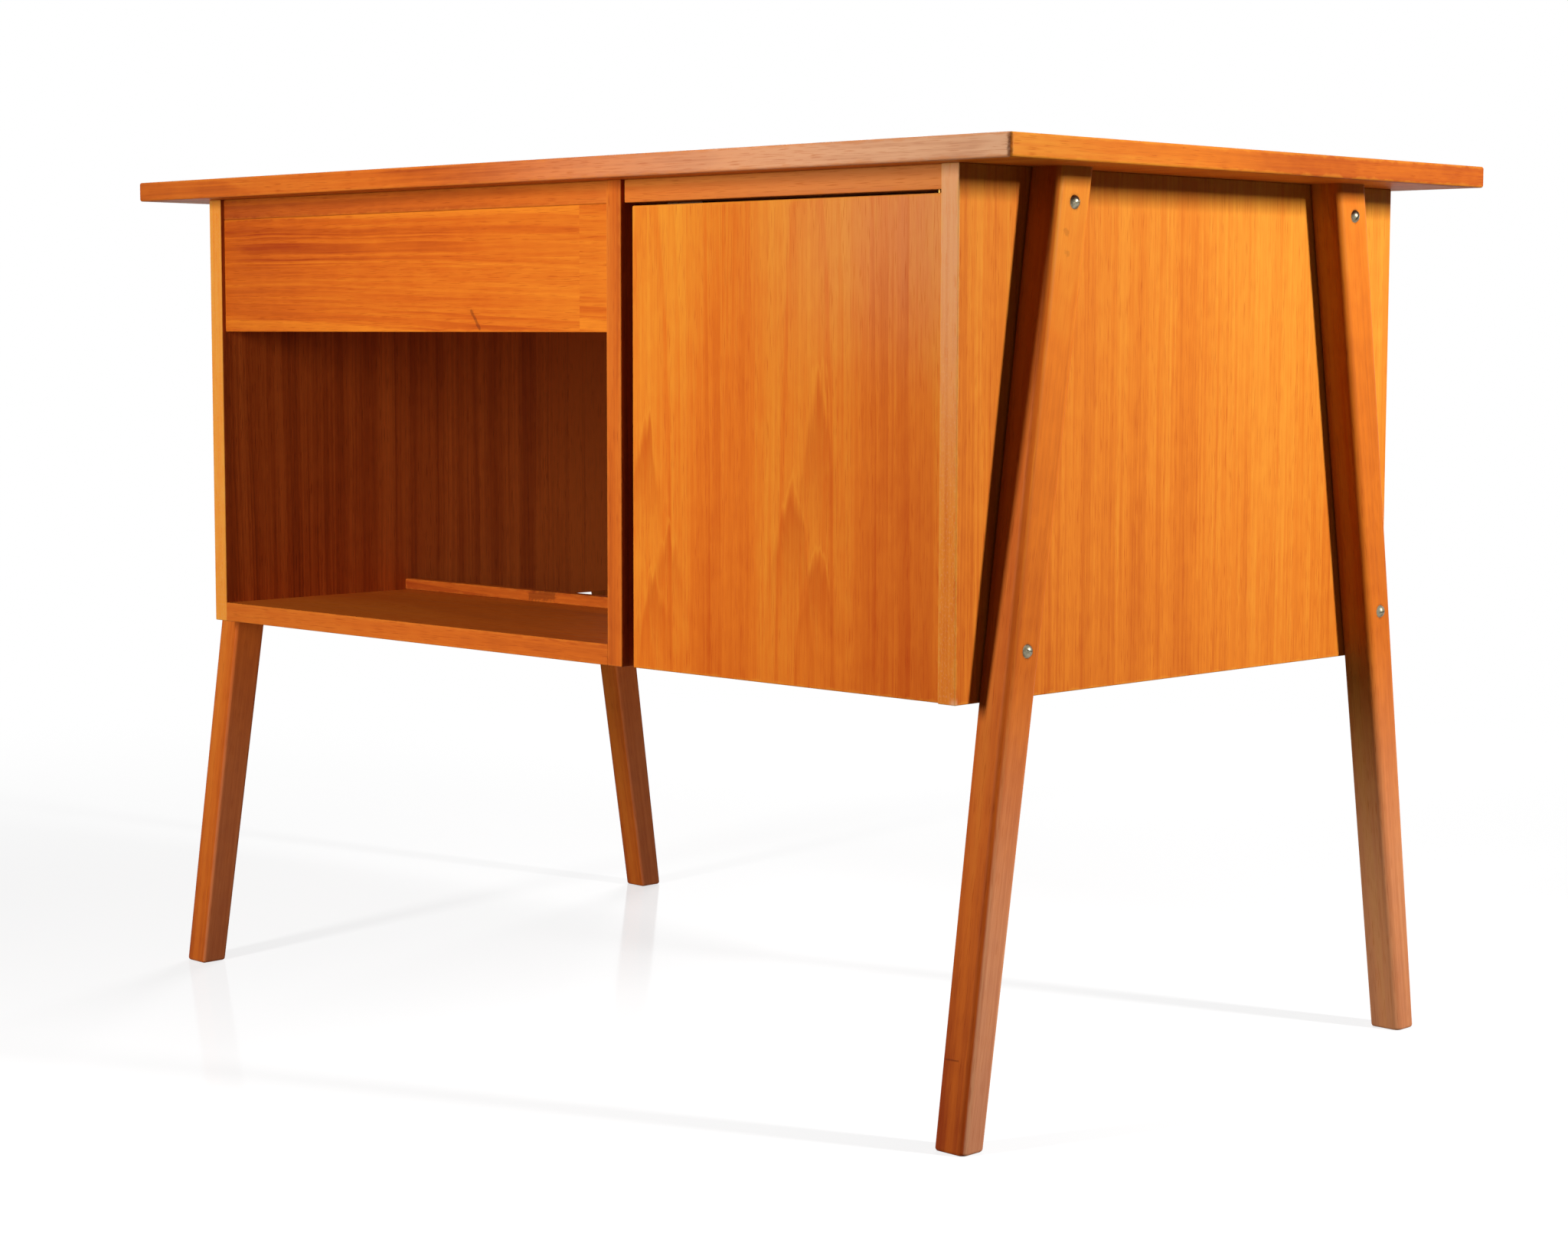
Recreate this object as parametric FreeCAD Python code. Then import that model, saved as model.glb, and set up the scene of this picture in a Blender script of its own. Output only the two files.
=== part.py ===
import FreeCAD, Part
import os

# A teak desk on four splayed legs, with a cupboard and an open shelf on the visitor's side
# and a knee hole and drawers on the user's side. +X runs along the desk, to the right as the
# visitor sees it, +Y points to the user and +Z up. The origin is on the floor under the
# middle of the top. All sizes are in millimetres.

# Top
TOP_LENGTH = 1050.0
TOP_DEPTH = 597.0
TOP_THICK = 17.0
HEIGHT = 720.0
LIPPING = 8.0
TOP_CORNER = 4.0
TOP_ARRIS = 2.0
TOP_SCREW_INSET = 80.0
TOP_SCREW_BITE = 10.0

# Carcass
END_OVERHANG = 71.0
LONG_OVERHANG = 28.5
FLOOR_GAP = 319.5
BOARD = 17.0
ARRIS = 1.0
RECESS = 4.0
RAIL_THICK = 18.0
RAIL_DEPTH = 60.0
PEDESTAL_WIDTH = 335.0
APRON_HEIGHT = 101.0
SHELF_DEPTH = 219.5
BOOK_STOP_THICK = 12.0
BOOK_STOP_HEIGHT = 10.5
BOOK_STOP_ARRIS = 1.5
PARTITION = 12.0

# Dowels between the boards
DOWEL = 8.0
DOWEL_IN_PANEL = 7.5
DOWEL_IN_BOARD = 16.0
HOLE_END_ROOM = 0.5
DOWEL_INSET = 18.0
HOLE_CLEAR = 0.05

# Legs and their screws
LEG_THICK = 28.0
LEG_TOP_WIDTH = 39.8
LEG_FOOT_WIDTH = 25.2
LEG_TOP_INSET = 77.5
LEG_FOOT_INSET = 8.5
LEG_OUTER_ROUND = 6.0
LEG_INNER_ROUND = 3.0
LEG_FOOT_ROUND = 2.5
LEG_SCREW = 5.0
LEG_SCREW_HEAD = 10.5
LEG_SCREW_DOME = 3.2
LEG_SCREW_BITE = 12.0
LEG_SCREW_POINT = 5.0
LEG_SCREW_FROM_TOP = 25.5
LEG_SCREW_FROM_BASE = 38.0
SCREW_SLOT_WIDTH = 1.3
SCREW_SLOT_DEPTH = 1.4
SCREW_SLOT_TURN = 37.0

# Door and its knife hinges
FRONT_THICK = 17.0
FRONT_ARRIS = 1.2
FINGER_GAP = 9.0
SIDE_GAP = 1.5
DOOR_TOP_GAP = 2.5
DOOR_REAR_ROOM = 2.5
HINGE_LEAF_THICK = 2.0
HINGE_PIN = 3.0
HINGE_PIN_CLEAR = 0.05
HINGE_PIN_END_ROOM = 0.3
HINGE_FROM_EDGE = 7.0
HINGE_FROM_FACE = 5.0
HINGE_LEAF_LIP = 1.0
UPPER_LEAF_WIDTH = 12.0
UPPER_LEAF_LENGTH = 56.0
LOWER_LEAF_WIDTH = 7.5
LOWER_LEAF_LENGTH = 52.0
LOWER_LEAF_TURN = 15.0
LOWER_LEAF_ROOM = 0.5
DOOR_LEAF_WIDTH = 10.0
DOOR_LEAF_LENGTH = 50.0
WASHER_THICK = 0.5
WASHER_WIDTH = 6.0

# Small countersunk screws
SMALL_SCREW = 3.0
SMALL_SCREW_HEAD = 5.6
SMALL_SCREW_SINK = 1.6
SMALL_SCREW_LENGTH = 14.0
SMALL_SCREW_PITCH = 20.0
SMALL_SCREW_END = 9.0
TOP_SCREW = 4.5
TOP_SCREW_HEAD = 9.0
TOP_SCREW_SINK = 3.0

# Catch
CATCH_LENGTH = 40.0
CATCH_DEPTH = 20.0
CATCH_HEIGHT = 12.0
CATCH_FROM_EDGE = 20.0
CATCH_AIR = 0.3
CATCH_SCREW_BITE = 12.0
STRIKE_LENGTH = 30.0
STRIKE_HEIGHT = 10.0
STRIKE_THICK = 1.5
STRIKE_FROM_TOP = 1.5

# Cupboard shelf
CUPBOARD_SHELF_THICK = 15.0
CUPBOARD_SHELF_SETBACK = 14.0
CUPBOARD_SHELF_SIDE_ROOM = 0.75
CUPBOARD_SHELF_REAR_ROOM = 1.0
PEG = 5.0
PEG_IN_PANEL = 7.5
PEG_OUT = 9.0
PEG_INSET = 36.0
PEG_CLEAR = 0.05

# Drawers
DRAWER_COUNT = 3
DRAWER_SIDE = 12.0
DRAWER_BACK = 12.0
DRAWER_BOTTOM = 4.0
DRAWER_SIDE_ROOM = 1.0
DRAWER_REAR_ROOM = 1.5
DRAWER_BASE_ROOM = 1.5
DRAWER_SIDE_RAISE = 6.0
DRAWER_SIDE_DROP = 24.0
BOTTOM_RAISE = 8.0
BOTTOM_IN_GROOVE = 5.5
BOTTOM_END_ROOM = 0.5
BOTTOM_FIT = 0.1
WIDE_DRAWER_LENGTH = 380.0
WIDE_FRONT_RAISE = 3.0
BASE_EDGE_ROOM = 1.0

# Drawer runners
RUNNER_HEIGHT = 10.0
RUNNER_IN_GROOVE = 6.0
RUNNER_TIP_ROOM = 0.5
RUNNER_TOP_ROOM = 0.2
RUNNER_BASE_ROOM = 0.5
RUNNER_STOP = 20.0
RUNNER_STOP_ROOM = 0.5

# Places worked out from the sizes above
TOP_BASE = HEIGHT - TOP_THICK
HALF_LENGTH = TOP_LENGTH / 2 - END_OVERHANG
HALF_DEPTH = TOP_DEPTH / 2 - LONG_OVERHANG
INNER_END = HALF_LENGTH - BOARD
DIVIDER_RIGHT = INNER_END - PEDESTAL_WIDTH
DIVIDER_LEFT = DIVIDER_RIGHT - BOARD
FACE = HALF_DEPTH - RECESS
FRONT_BACK = FACE - FRONT_THICK
BASE_TOP = FLOOR_GAP + BOARD
RAIL_BASE = TOP_BASE - RAIL_THICK
APRON_BASE = RAIL_BASE - APRON_HEIGHT
SHELF_REAR = SHELF_DEPTH - HALF_DEPTH
PARTITION_FACE = SHELF_REAR - PARTITION
BASE_FRONT = DOOR_REAR_ROOM - FRONT_BACK
BASE_REAR = FRONT_BACK - BASE_EDGE_ROOM
DOOR_LEFT = DIVIDER_RIGHT + FINGER_GAP
DOOR_RIGHT = INNER_END - SIDE_GAP
DOOR_TOP = RAIL_BASE - DOOR_TOP_GAP
DOOR_BASE = FLOOR_GAP
DOOR_LEAF_BASE = DOOR_BASE + HINGE_LEAF_THICK + WASHER_THICK
DOOR_LEAF_TOP = DOOR_TOP - HINGE_LEAF_THICK
PIVOT_X = DOOR_RIGHT - HINGE_FROM_EDGE
PIVOT_Y = HINGE_FROM_FACE - FACE
RAIL_MIDDLE = FACE - RAIL_DEPTH / 2
CUPBOARD_SHELF_BASE = (BASE_TOP + RAIL_BASE - CUPBOARD_SHELF_THICK) / 2
DRAWER_REAR = SHELF_REAR + DRAWER_REAR_ROOM
WIDE_DRAWER_REAR = FRONT_BACK - WIDE_DRAWER_LENGTH
STRIKE_BACK = STRIKE_THICK - FRONT_BACK
CATCH_FRONT = STRIKE_BACK + CATCH_AIR
CATCH_LEFT = DOOR_LEFT + CATCH_FROM_EDGE

UP = FreeCAD.Vector(0, 0, 1)
DOWN = FreeCAD.Vector(0, 0, -1)
pieces = {}


def point(x, y, z):
    return FreeCAD.Vector(x, y, z)


def block(x, y, z):
    """A square-edged board between the two ends given on each axis."""
    return Part.makeBox(x[1] - x[0], y[1] - y[0], z[1] - z[0], point(x[0], y[0], z[0]))


def board(x, y, z, arris=ARRIS):
    """A board with every edge lightly rounded."""
    solid = block(x, y, z)
    return solid.makeFillet(arris, solid.Edges)


def rod(radius, start, end):
    along = end - start
    return Part.makeCylinder(radius, along.Length, start, along)


def cut_all(solid, tools):
    """The solid with every tool taken out of it."""
    return solid.cut(Part.makeCompound(tools)) if tools else solid


def flat_screw(seat, along, diameter, head, sink, length, clear=0.0):
    """A countersunk screw whose flat head lies at seat; clear makes its hole instead."""
    cone = Part.makeCone(head / 2 + clear, diameter / 2 + clear, sink, seat, along)
    shank = Part.makeCylinder(diameter / 2 + clear, length + clear, seat, along)
    return cone.fuse(shank).removeSplitter()


def small_screw(seat, along, clear=0.0):
    size = (SMALL_SCREW, SMALL_SCREW_HEAD, SMALL_SCREW_SINK, SMALL_SCREW_LENGTH)
    return flat_screw(seat, along, *size, clear)


def top_screw(seat, clear=0.0):
    size = (TOP_SCREW, TOP_SCREW_HEAD, TOP_SCREW_SINK, RAIL_THICK + TOP_SCREW_BITE)
    return flat_screw(seat, UP, *size, clear)


# Dowels run along X, from a board's end into the panel that it meets

def dowel(seat, clear=0.0, room=0.0):
    """One dowel, or its hole. A seat is the panel's face, the board's side of it, y and z."""
    face, side, y, z = seat
    start = point(face - side * (DOWEL_IN_PANEL + room), y, z)
    end = point(face + side * (DOWEL_IN_BOARD + room), y, z)
    return rod(DOWEL / 2 + clear, start, end)


def end_seats(left, right, places):
    """Dowel seats at both ends of a board that spans from left to right."""
    seats = []
    for y, z in places:
        seats.append((left, 1, y, z))
        seats.append((right, -1, y, z))
    return seats


def spread(low, high, count):
    """Evenly spaced places, the outer ones DOWEL_INSET from the ends."""
    first = low + DOWEL_INSET
    step = (high - low - 2 * DOWEL_INSET) / (count - 1)
    return [first + step * i for i in range(count)]


def all_dowel_seats():
    seats = []
    rail_z = RAIL_BASE + RAIL_THICK / 2
    base_z = FLOOR_GAP + BOARD / 2
    apron_y = FRONT_THICK / 2 - FACE
    partition_y = PARTITION_FACE + PARTITION / 2
    for side in (-1, 1):
        ends = sorted((side * FACE, side * (FACE - RAIL_DEPTH)))
        places = [(y, rail_z) for y in spread(ends[0], ends[1], 2)]
        seats += end_seats(-INNER_END, DIVIDER_LEFT, places)
        seats += end_seats(DIVIDER_RIGHT, INNER_END, places)
    places = [(apron_y, z) for z in spread(APRON_BASE, RAIL_BASE, 2)]
    places += [(y, base_z) for y in spread(-HALF_DEPTH, PARTITION_FACE, 3)]
    seats += end_seats(-INNER_END, DIVIDER_LEFT, places)
    places = [(y, base_z) for y in spread(BASE_FRONT, BASE_REAR, 4)]
    places += [(partition_y, z) for z in spread(BASE_TOP, TOP_BASE, 3)]
    seats += end_seats(DIVIDER_RIGHT, INNER_END, places)
    return seats


dowel_seats = all_dowel_seats()
dowel_holes = [dowel(seat, HOLE_CLEAR, HOLE_END_ROOM) for seat in dowel_seats]
pieces["carcass_dowels"] = Part.makeCompound([dowel(seat) for seat in dowel_seats])


# Top: a board edged with four mitred lippings

def on_rim(edge):
    box = edge.BoundBox
    return box.ZLength < 1e-6


def whole_top():
    half = (TOP_LENGTH / 2, TOP_DEPTH / 2)
    slab = block((-half[0], half[0]), (-half[1], half[1]), (TOP_BASE, HEIGHT))
    slab = slab.makeFillet(TOP_CORNER, [e for e in slab.Edges if not on_rim(e)])
    return slab.makeFillet(TOP_ARRIS, [e for e in slab.Edges if on_rim(e)])


def mitre_wedge(side_x, side_y):
    """The plan of one lipping, drawn past the top's edge and cut at its mitres."""
    outer = (TOP_LENGTH / 2 + LIPPING, TOP_DEPTH / 2 + LIPPING)
    inner = (TOP_LENGTH / 2 - LIPPING, TOP_DEPTH / 2 - LIPPING)
    if side_x:
        corners = [(side_x * size[0], turn * size[1]) for size, turn in
                   ((outer, -1), (outer, 1), (inner, 1), (inner, -1))]
    else:
        corners = [(turn * size[0], side_y * size[1]) for size, turn in
                   ((outer, -1), (outer, 1), (inner, 1), (inner, -1))]
    ring = [point(x, y, TOP_BASE) for x, y in corners]
    face = Part.Face(Part.makePolygon(ring + ring[:1]))
    return face.extrude(point(0, 0, TOP_THICK))


def top_screw_seats():
    seats = []
    for side in (-1, 1):
        for left, right in ((-INNER_END, DIVIDER_LEFT), (DIVIDER_RIGHT, INNER_END)):
            for x in (left + TOP_SCREW_INSET, right - TOP_SCREW_INSET):
                seats.append(point(x, side * RAIL_MIDDLE, RAIL_BASE))
    return seats


top_screw_holes = [top_screw(seat, HOLE_CLEAR) for seat in top_screw_seats()]
pieces["tabletop_screws"] = Part.makeCompound([top_screw(seat) for seat in top_screw_seats()])

slab = whole_top()
heart = block((LIPPING - TOP_LENGTH / 2, TOP_LENGTH / 2 - LIPPING),
              (LIPPING - TOP_DEPTH / 2, TOP_DEPTH / 2 - LIPPING), (TOP_BASE, HEIGHT))
pieces["tabletop_board"] = cut_all(slab.common(heart), top_screw_holes)
edging = slab.cut(heart)
for name, side_x, side_y in (("visitor", 0, -1), ("user", 0, 1), ("left", -1, 0), ("right", 1, 0)):
    pieces["tabletop_lipping_" + name] = edging.common(mitre_wedge(side_x, side_y))


# Legs: flat bars, tapered and splayed towards the long sides

def leg_edges(z):
    """Distances of the leg's outer and inner edge from the middle plane at a height."""
    share = z / TOP_BASE
    top_outer = HALF_DEPTH - LEG_TOP_INSET
    foot_outer = TOP_DEPTH / 2 - LEG_FOOT_INSET
    outer = foot_outer + (top_outer - foot_outer) * share
    width = LEG_FOOT_WIDTH + (LEG_TOP_WIDTH - LEG_FOOT_WIDTH) * share
    return outer, outer - width


def leg_screw_places():
    """Heights of the two screws, with the leg's middle line at each."""
    heights = (TOP_BASE - LEG_SCREW_FROM_TOP, FLOOR_GAP + LEG_SCREW_FROM_BASE)
    return [(sum(leg_edges(z)) / 2, z) for z in heights]


def dome_screw(seat, along, turn):
    """A slotted dome-headed screw through the leg; its head stands proud of seat."""
    ball = (LEG_SCREW_HEAD ** 2 / 4 + LEG_SCREW_DOME ** 2) / (2 * LEG_SCREW_DOME)
    crown = seat - along * LEG_SCREW_DOME
    head = Part.makeSphere(ball, crown + along * ball)
    head = head.common(Part.makeCylinder(LEG_SCREW_HEAD, LEG_SCREW_DOME, crown, along))
    length = LEG_THICK + LEG_SCREW_BITE - LEG_SCREW_POINT
    shank = Part.makeCylinder(LEG_SCREW / 2, length, seat, along)
    tip = Part.makeCone(LEG_SCREW / 2, LEG_SCREW / 8, LEG_SCREW_POINT, seat + along * length, along)
    screw = head.fuse([shank, tip]).removeSplitter()
    slot = block((crown.x - SCREW_SLOT_DEPTH, crown.x + SCREW_SLOT_DEPTH),
                 (crown.y - SCREW_SLOT_WIDTH / 2, crown.y + SCREW_SLOT_WIDTH / 2),
                 (crown.z - LEG_SCREW_HEAD, crown.z + LEG_SCREW_HEAD))
    slot.rotate(crown, along, turn)
    return screw.cut(slot)


def leg_screw_hole(seat, along):
    length = LEG_THICK + LEG_SCREW_BITE + HOLE_END_ROOM
    return Part.makeCylinder(LEG_SCREW / 2 + HOLE_CLEAR, length, seat, along)


def long_edges(bar, x):
    """The leg's long edges that lie in the plane at x."""
    edges = [e for e in bar.Edges if e.BoundBox.ZLength > TOP_BASE / 2]
    return [e for e in edges if e.BoundBox.XLength < 1e-6 and abs(e.CenterOfMass.x - x) < 1e-6]


def leg_bar(side_x, side_y):
    outer_top, inner_top = leg_edges(TOP_BASE)
    outer_foot, inner_foot = leg_edges(0)
    inside = side_x * HALF_LENGTH
    ring = [point(inside, side_y * y, z) for y, z in
            ((outer_foot, 0), (outer_top, TOP_BASE), (inner_top, TOP_BASE), (inner_foot, 0))]
    bar = Part.Face(Part.makePolygon(ring + ring[:1])).extrude(point(side_x * LEG_THICK, 0, 0))
    bar = bar.makeFillet(LEG_OUTER_ROUND, long_edges(bar, side_x * (HALF_LENGTH + LEG_THICK)))
    bar = bar.makeFillet(LEG_INNER_ROUND, long_edges(bar, inside))
    foot = [e for e in bar.Edges if e.BoundBox.ZMax < 1e-6]
    return bar.makeFillet(LEG_FOOT_ROUND, foot)


leg_screws = []
leg_holes = []
for name_y, side_y in (("visitor", -1), ("user", 1)):
    for name_x, side_x in (("left", -1), ("right", 1)):
        along = point(-side_x, 0, 0)
        outside = side_x * (HALF_LENGTH + LEG_THICK)
        seats = [point(outside, side_y * y, z) for y, z in leg_screw_places()]
        for seat in seats:
            leg_screws.append(dome_screw(seat, along, SCREW_SLOT_TURN * len(leg_screws)))
            leg_holes.append(leg_screw_hole(seat, along))
        pieces["leg_" + name_y + "_" + name_x] = cut_all(leg_bar(side_x, side_y), leg_holes[-len(seats):])
pieces["leg_screws"] = Part.makeCompound(leg_screws)


# Cupboard shelf and its pegs

def peg_seats():
    """Panel face, side of the free end and y of the four pegs."""
    front = CUPBOARD_SHELF_SETBACK - FRONT_BACK
    seats = []
    for face, side in ((DIVIDER_RIGHT, 1), (INNER_END, -1)):
        for y in (front + PEG_INSET, PARTITION_FACE - PEG_INSET):
            seats.append((face, side, y))
    return seats


def peg(seat, clear=0.0):
    face, side, y = seat
    z = CUPBOARD_SHELF_BASE - PEG / 2 - PEG_CLEAR
    start = point(face - side * (PEG_IN_PANEL + clear), y, z)
    return rod(PEG / 2 + clear, start, point(face + side * PEG_OUT, y, z))


peg_holes = [peg(seat, HOLE_CLEAR) for seat in peg_seats()]
pieces["shelf_pegs"] = Part.makeCompound([peg(seat) for seat in peg_seats()])
pieces["cupboard_shelf"] = board(
    (DIVIDER_RIGHT + CUPBOARD_SHELF_SIDE_ROOM, INNER_END - CUPBOARD_SHELF_SIDE_ROOM),
    (CUPBOARD_SHELF_SETBACK - FRONT_BACK, PARTITION_FACE - CUPBOARD_SHELF_REAR_ROOM),
    (CUPBOARD_SHELF_BASE, CUPBOARD_SHELF_BASE + CUPBOARD_SHELF_THICK))


# Knife hinges: a leaf with a pin in the carcass, a leaf with an eye in the door

def hinge_pin(low, high):
    return rod(HINGE_PIN / 2, point(PIVOT_X, PIVOT_Y, low), point(PIVOT_X, PIVOT_Y, high))


def upper_leaf_plate():
    """The leaf let into the underside of the rail."""
    return block((PIVOT_X - UPPER_LEAF_WIDTH / 2, PIVOT_X + UPPER_LEAF_WIDTH / 2),
                 (HINGE_LEAF_LIP - FACE, HINGE_LEAF_LIP - FACE + UPPER_LEAF_LENGTH),
                 (RAIL_BASE, RAIL_BASE + HINGE_LEAF_THICK))


def upper_leaf_screws(clear=0.0):
    rear = HINGE_LEAF_LIP - FACE + UPPER_LEAF_LENGTH - SMALL_SCREW_END
    places = (rear, rear - SMALL_SCREW_PITCH)
    return [small_screw(point(PIVOT_X, y, RAIL_BASE), UP, clear) for y in places]


def lower_leaf_plate():
    """The leaf let into the underside of the bottom; its round nose carries the door.

    It is turned inwards, so that it stays in the door's pocket as the door swings.
    """
    pivot = point(PIVOT_X, PIVOT_Y, FLOOR_GAP)
    nose = Part.makeCylinder(LOWER_LEAF_WIDTH / 2, HINGE_LEAF_THICK, pivot)
    bar = block((PIVOT_X - LOWER_LEAF_WIDTH / 2, PIVOT_X + LOWER_LEAF_WIDTH / 2),
                (PIVOT_Y, PIVOT_Y + LOWER_LEAF_LENGTH), (FLOOR_GAP, FLOOR_GAP + HINGE_LEAF_THICK))
    plate = nose.fuse(bar).removeSplitter()
    plate.rotate(pivot, UP, LOWER_LEAF_TURN)
    return plate


def lower_leaf_screws(clear=0.0):
    pivot = point(PIVOT_X, PIVOT_Y, FLOOR_GAP)
    along = FreeCAD.Rotation(UP, LOWER_LEAF_TURN).multVec(point(0, 1, 0))
    rear = LOWER_LEAF_LENGTH - SMALL_SCREW_END
    return [small_screw(pivot + along * far, UP, clear) for far in (rear, rear - SMALL_SCREW_PITCH)]


def door_leaf_block(low, high, end_room=0.0):
    right = PIVOT_X + HINGE_LEAF_LIP + HINGE_PIN
    return block((right - DOOR_LEAF_LENGTH, right + end_room),
                 (HINGE_LEAF_LIP - FACE, HINGE_LEAF_LIP - FACE + DOOR_LEAF_WIDTH), (low, high))


def door_leaf_screws(z, along, clear=0.0):
    left = PIVOT_X + HINGE_LEAF_LIP + HINGE_PIN - DOOR_LEAF_LENGTH + SMALL_SCREW_END
    y = HINGE_LEAF_LIP - FACE + DOOR_LEAF_WIDTH / 2
    return [small_screw(point(x, y, z), along, clear) for x in (left, left + SMALL_SCREW_PITCH)]


upper_pin = hinge_pin(RAIL_BASE, DOOR_LEAF_TOP + HINGE_PIN_END_ROOM)
lower_pin = hinge_pin(FLOOR_GAP, DOOR_LEAF_BASE + HINGE_LEAF_THICK - HINGE_PIN_END_ROOM)
upper_leaf = upper_leaf_plate().fuse(upper_pin).removeSplitter()
lower_leaf = lower_leaf_plate().fuse(lower_pin).removeSplitter()
leaf_screws = upper_leaf_screws() + lower_leaf_screws()
leaf_screw_holes = upper_leaf_screws(HOLE_CLEAR) + lower_leaf_screws(HOLE_CLEAR)
pieces["hinge_carcass_leaves"] = Part.makeCompound(
    [cut_all(leaf, leaf_screw_holes) for leaf in (upper_leaf, lower_leaf)])

eye = rod(HINGE_PIN / 2 + HINGE_PIN_CLEAR, point(PIVOT_X, PIVOT_Y, FLOOR_GAP),
          point(PIVOT_X, PIVOT_Y, TOP_BASE))
door_leaf_screw_holes = (door_leaf_screws(DOOR_TOP, DOWN, HOLE_CLEAR)
                         + door_leaf_screws(DOOR_LEAF_BASE, UP, HOLE_CLEAR))
door_leaves = [door_leaf_block(z, z + HINGE_LEAF_THICK) for z in (DOOR_LEAF_TOP, DOOR_LEAF_BASE)]
pieces["hinge_door_leaves"] = Part.makeCompound(
    [cut_all(leaf, [eye] + door_leaf_screw_holes) for leaf in door_leaves])
pieces["hinge_door_screws"] = Part.makeCompound(
    door_leaf_screws(DOOR_TOP, DOWN) + door_leaf_screws(DOOR_LEAF_BASE, UP))
washer = rod(WASHER_WIDTH / 2, point(PIVOT_X, PIVOT_Y, DOOR_LEAF_BASE - WASHER_THICK),
             point(PIVOT_X, PIVOT_Y, DOOR_LEAF_BASE))
pieces["hinge_washer"] = washer.cut(eye)


# Door with its strike plate, and the catch under the rail

def strike_screw(clear=0.0):
    z = DOOR_TOP - STRIKE_FROM_TOP - STRIKE_HEIGHT / 2
    seat = point(CATCH_LEFT + CATCH_LENGTH / 2, STRIKE_BACK, z)
    length = STRIKE_THICK + FRONT_THICK / 2
    return flat_screw(seat, point(0, -1, 0), SMALL_SCREW, SMALL_SCREW_HEAD, STRIKE_THICK, length, clear)


def catch_screws(clear=0.0):
    y = CATCH_FRONT + CATCH_DEPTH / 2
    z = RAIL_BASE - CATCH_HEIGHT
    ends = (CATCH_LEFT + SMALL_SCREW_END, CATCH_LEFT + CATCH_LENGTH - SMALL_SCREW_END)
    size = (SMALL_SCREW, SMALL_SCREW_HEAD, SMALL_SCREW_SINK, CATCH_HEIGHT + CATCH_SCREW_BITE)
    return [flat_screw(point(x, y, z), UP, *size, clear) for x in ends]


door = board((DOOR_LEFT, DOOR_RIGHT), (-FACE, -FRONT_BACK), (DOOR_BASE, DOOR_TOP), FRONT_ARRIS)
leaf_beds = [door_leaf_block(DOOR_LEAF_TOP, DOOR_TOP, HINGE_FROM_EDGE),
             door_leaf_block(DOOR_BASE, DOOR_LEAF_BASE + HINGE_LEAF_THICK, HINGE_FROM_EDGE)]
nose_left = lower_leaf.common(door).BoundBox.XMin - LOWER_LEAF_ROOM
nose_pocket = block((nose_left, INNER_END), (HINGE_LEAF_LIP - FACE, BASE_FRONT), (DOOR_BASE, DOOR_LEAF_BASE))
door_cuts = leaf_beds + [nose_pocket] + door_leaf_screw_holes + [strike_screw(HOLE_CLEAR)]
pieces["door_panel"] = cut_all(door, door_cuts)
strike_left = CATCH_LEFT + (CATCH_LENGTH - STRIKE_LENGTH) / 2
strike = block((strike_left, strike_left + STRIKE_LENGTH), (-FRONT_BACK, STRIKE_BACK),
               (DOOR_TOP - STRIKE_FROM_TOP - STRIKE_HEIGHT, DOOR_TOP - STRIKE_FROM_TOP))
pieces["door_strike"] = strike.cut(strike_screw(HOLE_CLEAR))
pieces["door_strike_screw"] = strike_screw()
catch = board((CATCH_LEFT, CATCH_LEFT + CATCH_LENGTH), (CATCH_FRONT, CATCH_FRONT + CATCH_DEPTH),
              (RAIL_BASE - CATCH_HEIGHT, RAIL_BASE))
pieces["door_catch"] = cut_all(catch, catch_screws(HOLE_CLEAR))
pieces["cupboard_hardware_screws"] = Part.makeCompound(leaf_screws + catch_screws())


# Carcass boards

def upright(left):
    return board((left, left + BOARD), (-HALF_DEPTH, HALF_DEPTH), (FLOOR_GAP, TOP_BASE))


panel_holes = dowel_holes + peg_holes + leg_holes
pieces["side_panel_left"] = cut_all(upright(-HALF_LENGTH), panel_holes)
pieces["side_panel_right"] = cut_all(upright(INNER_END), panel_holes)
pieces["divider"] = cut_all(upright(DIVIDER_LEFT), panel_holes)

rail_cuts = dowel_holes + top_screw_holes + leaf_screw_holes + catch_screws(HOLE_CLEAR) + [upper_leaf]
for name, low, high in (("visitor", -FACE, RAIL_DEPTH - FACE), ("user", FACE - RAIL_DEPTH, FACE)):
    left_rail = board((-INNER_END, DIVIDER_LEFT), (low, high), (RAIL_BASE, TOP_BASE))
    right_rail = board((DIVIDER_RIGHT, INNER_END), (low, high), (RAIL_BASE, TOP_BASE))
    pieces["rail_" + name + "_left"] = cut_all(left_rail, rail_cuts)
    pieces["rail_" + name + "_right"] = cut_all(right_rail, rail_cuts)

apron = board((-INNER_END, DIVIDER_LEFT), (-FACE, -FRONT_BACK), (APRON_BASE, RAIL_BASE))
pieces["apron"] = cut_all(apron, dowel_holes)
shelf = board((-INNER_END, DIVIDER_LEFT), (-HALF_DEPTH, SHELF_REAR), (FLOOR_GAP, BASE_TOP))
pieces["bookshelf_board"] = cut_all(shelf, dowel_holes)
pieces["book_stop"] = board((-INNER_END, DIVIDER_LEFT), (SHELF_REAR - BOOK_STOP_THICK, SHELF_REAR),
                            (BASE_TOP, BASE_TOP + BOOK_STOP_HEIGHT), BOOK_STOP_ARRIS)
base = board((DIVIDER_RIGHT, INNER_END), (BASE_FRONT, BASE_REAR), (FLOOR_GAP, BASE_TOP))
pieces["pedestal_bottom"] = cut_all(base, dowel_holes + leaf_screw_holes + [lower_leaf])
partition = board((DIVIDER_RIGHT, INNER_END), (PARTITION_FACE, SHELF_REAR), (BASE_TOP, TOP_BASE))
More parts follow.
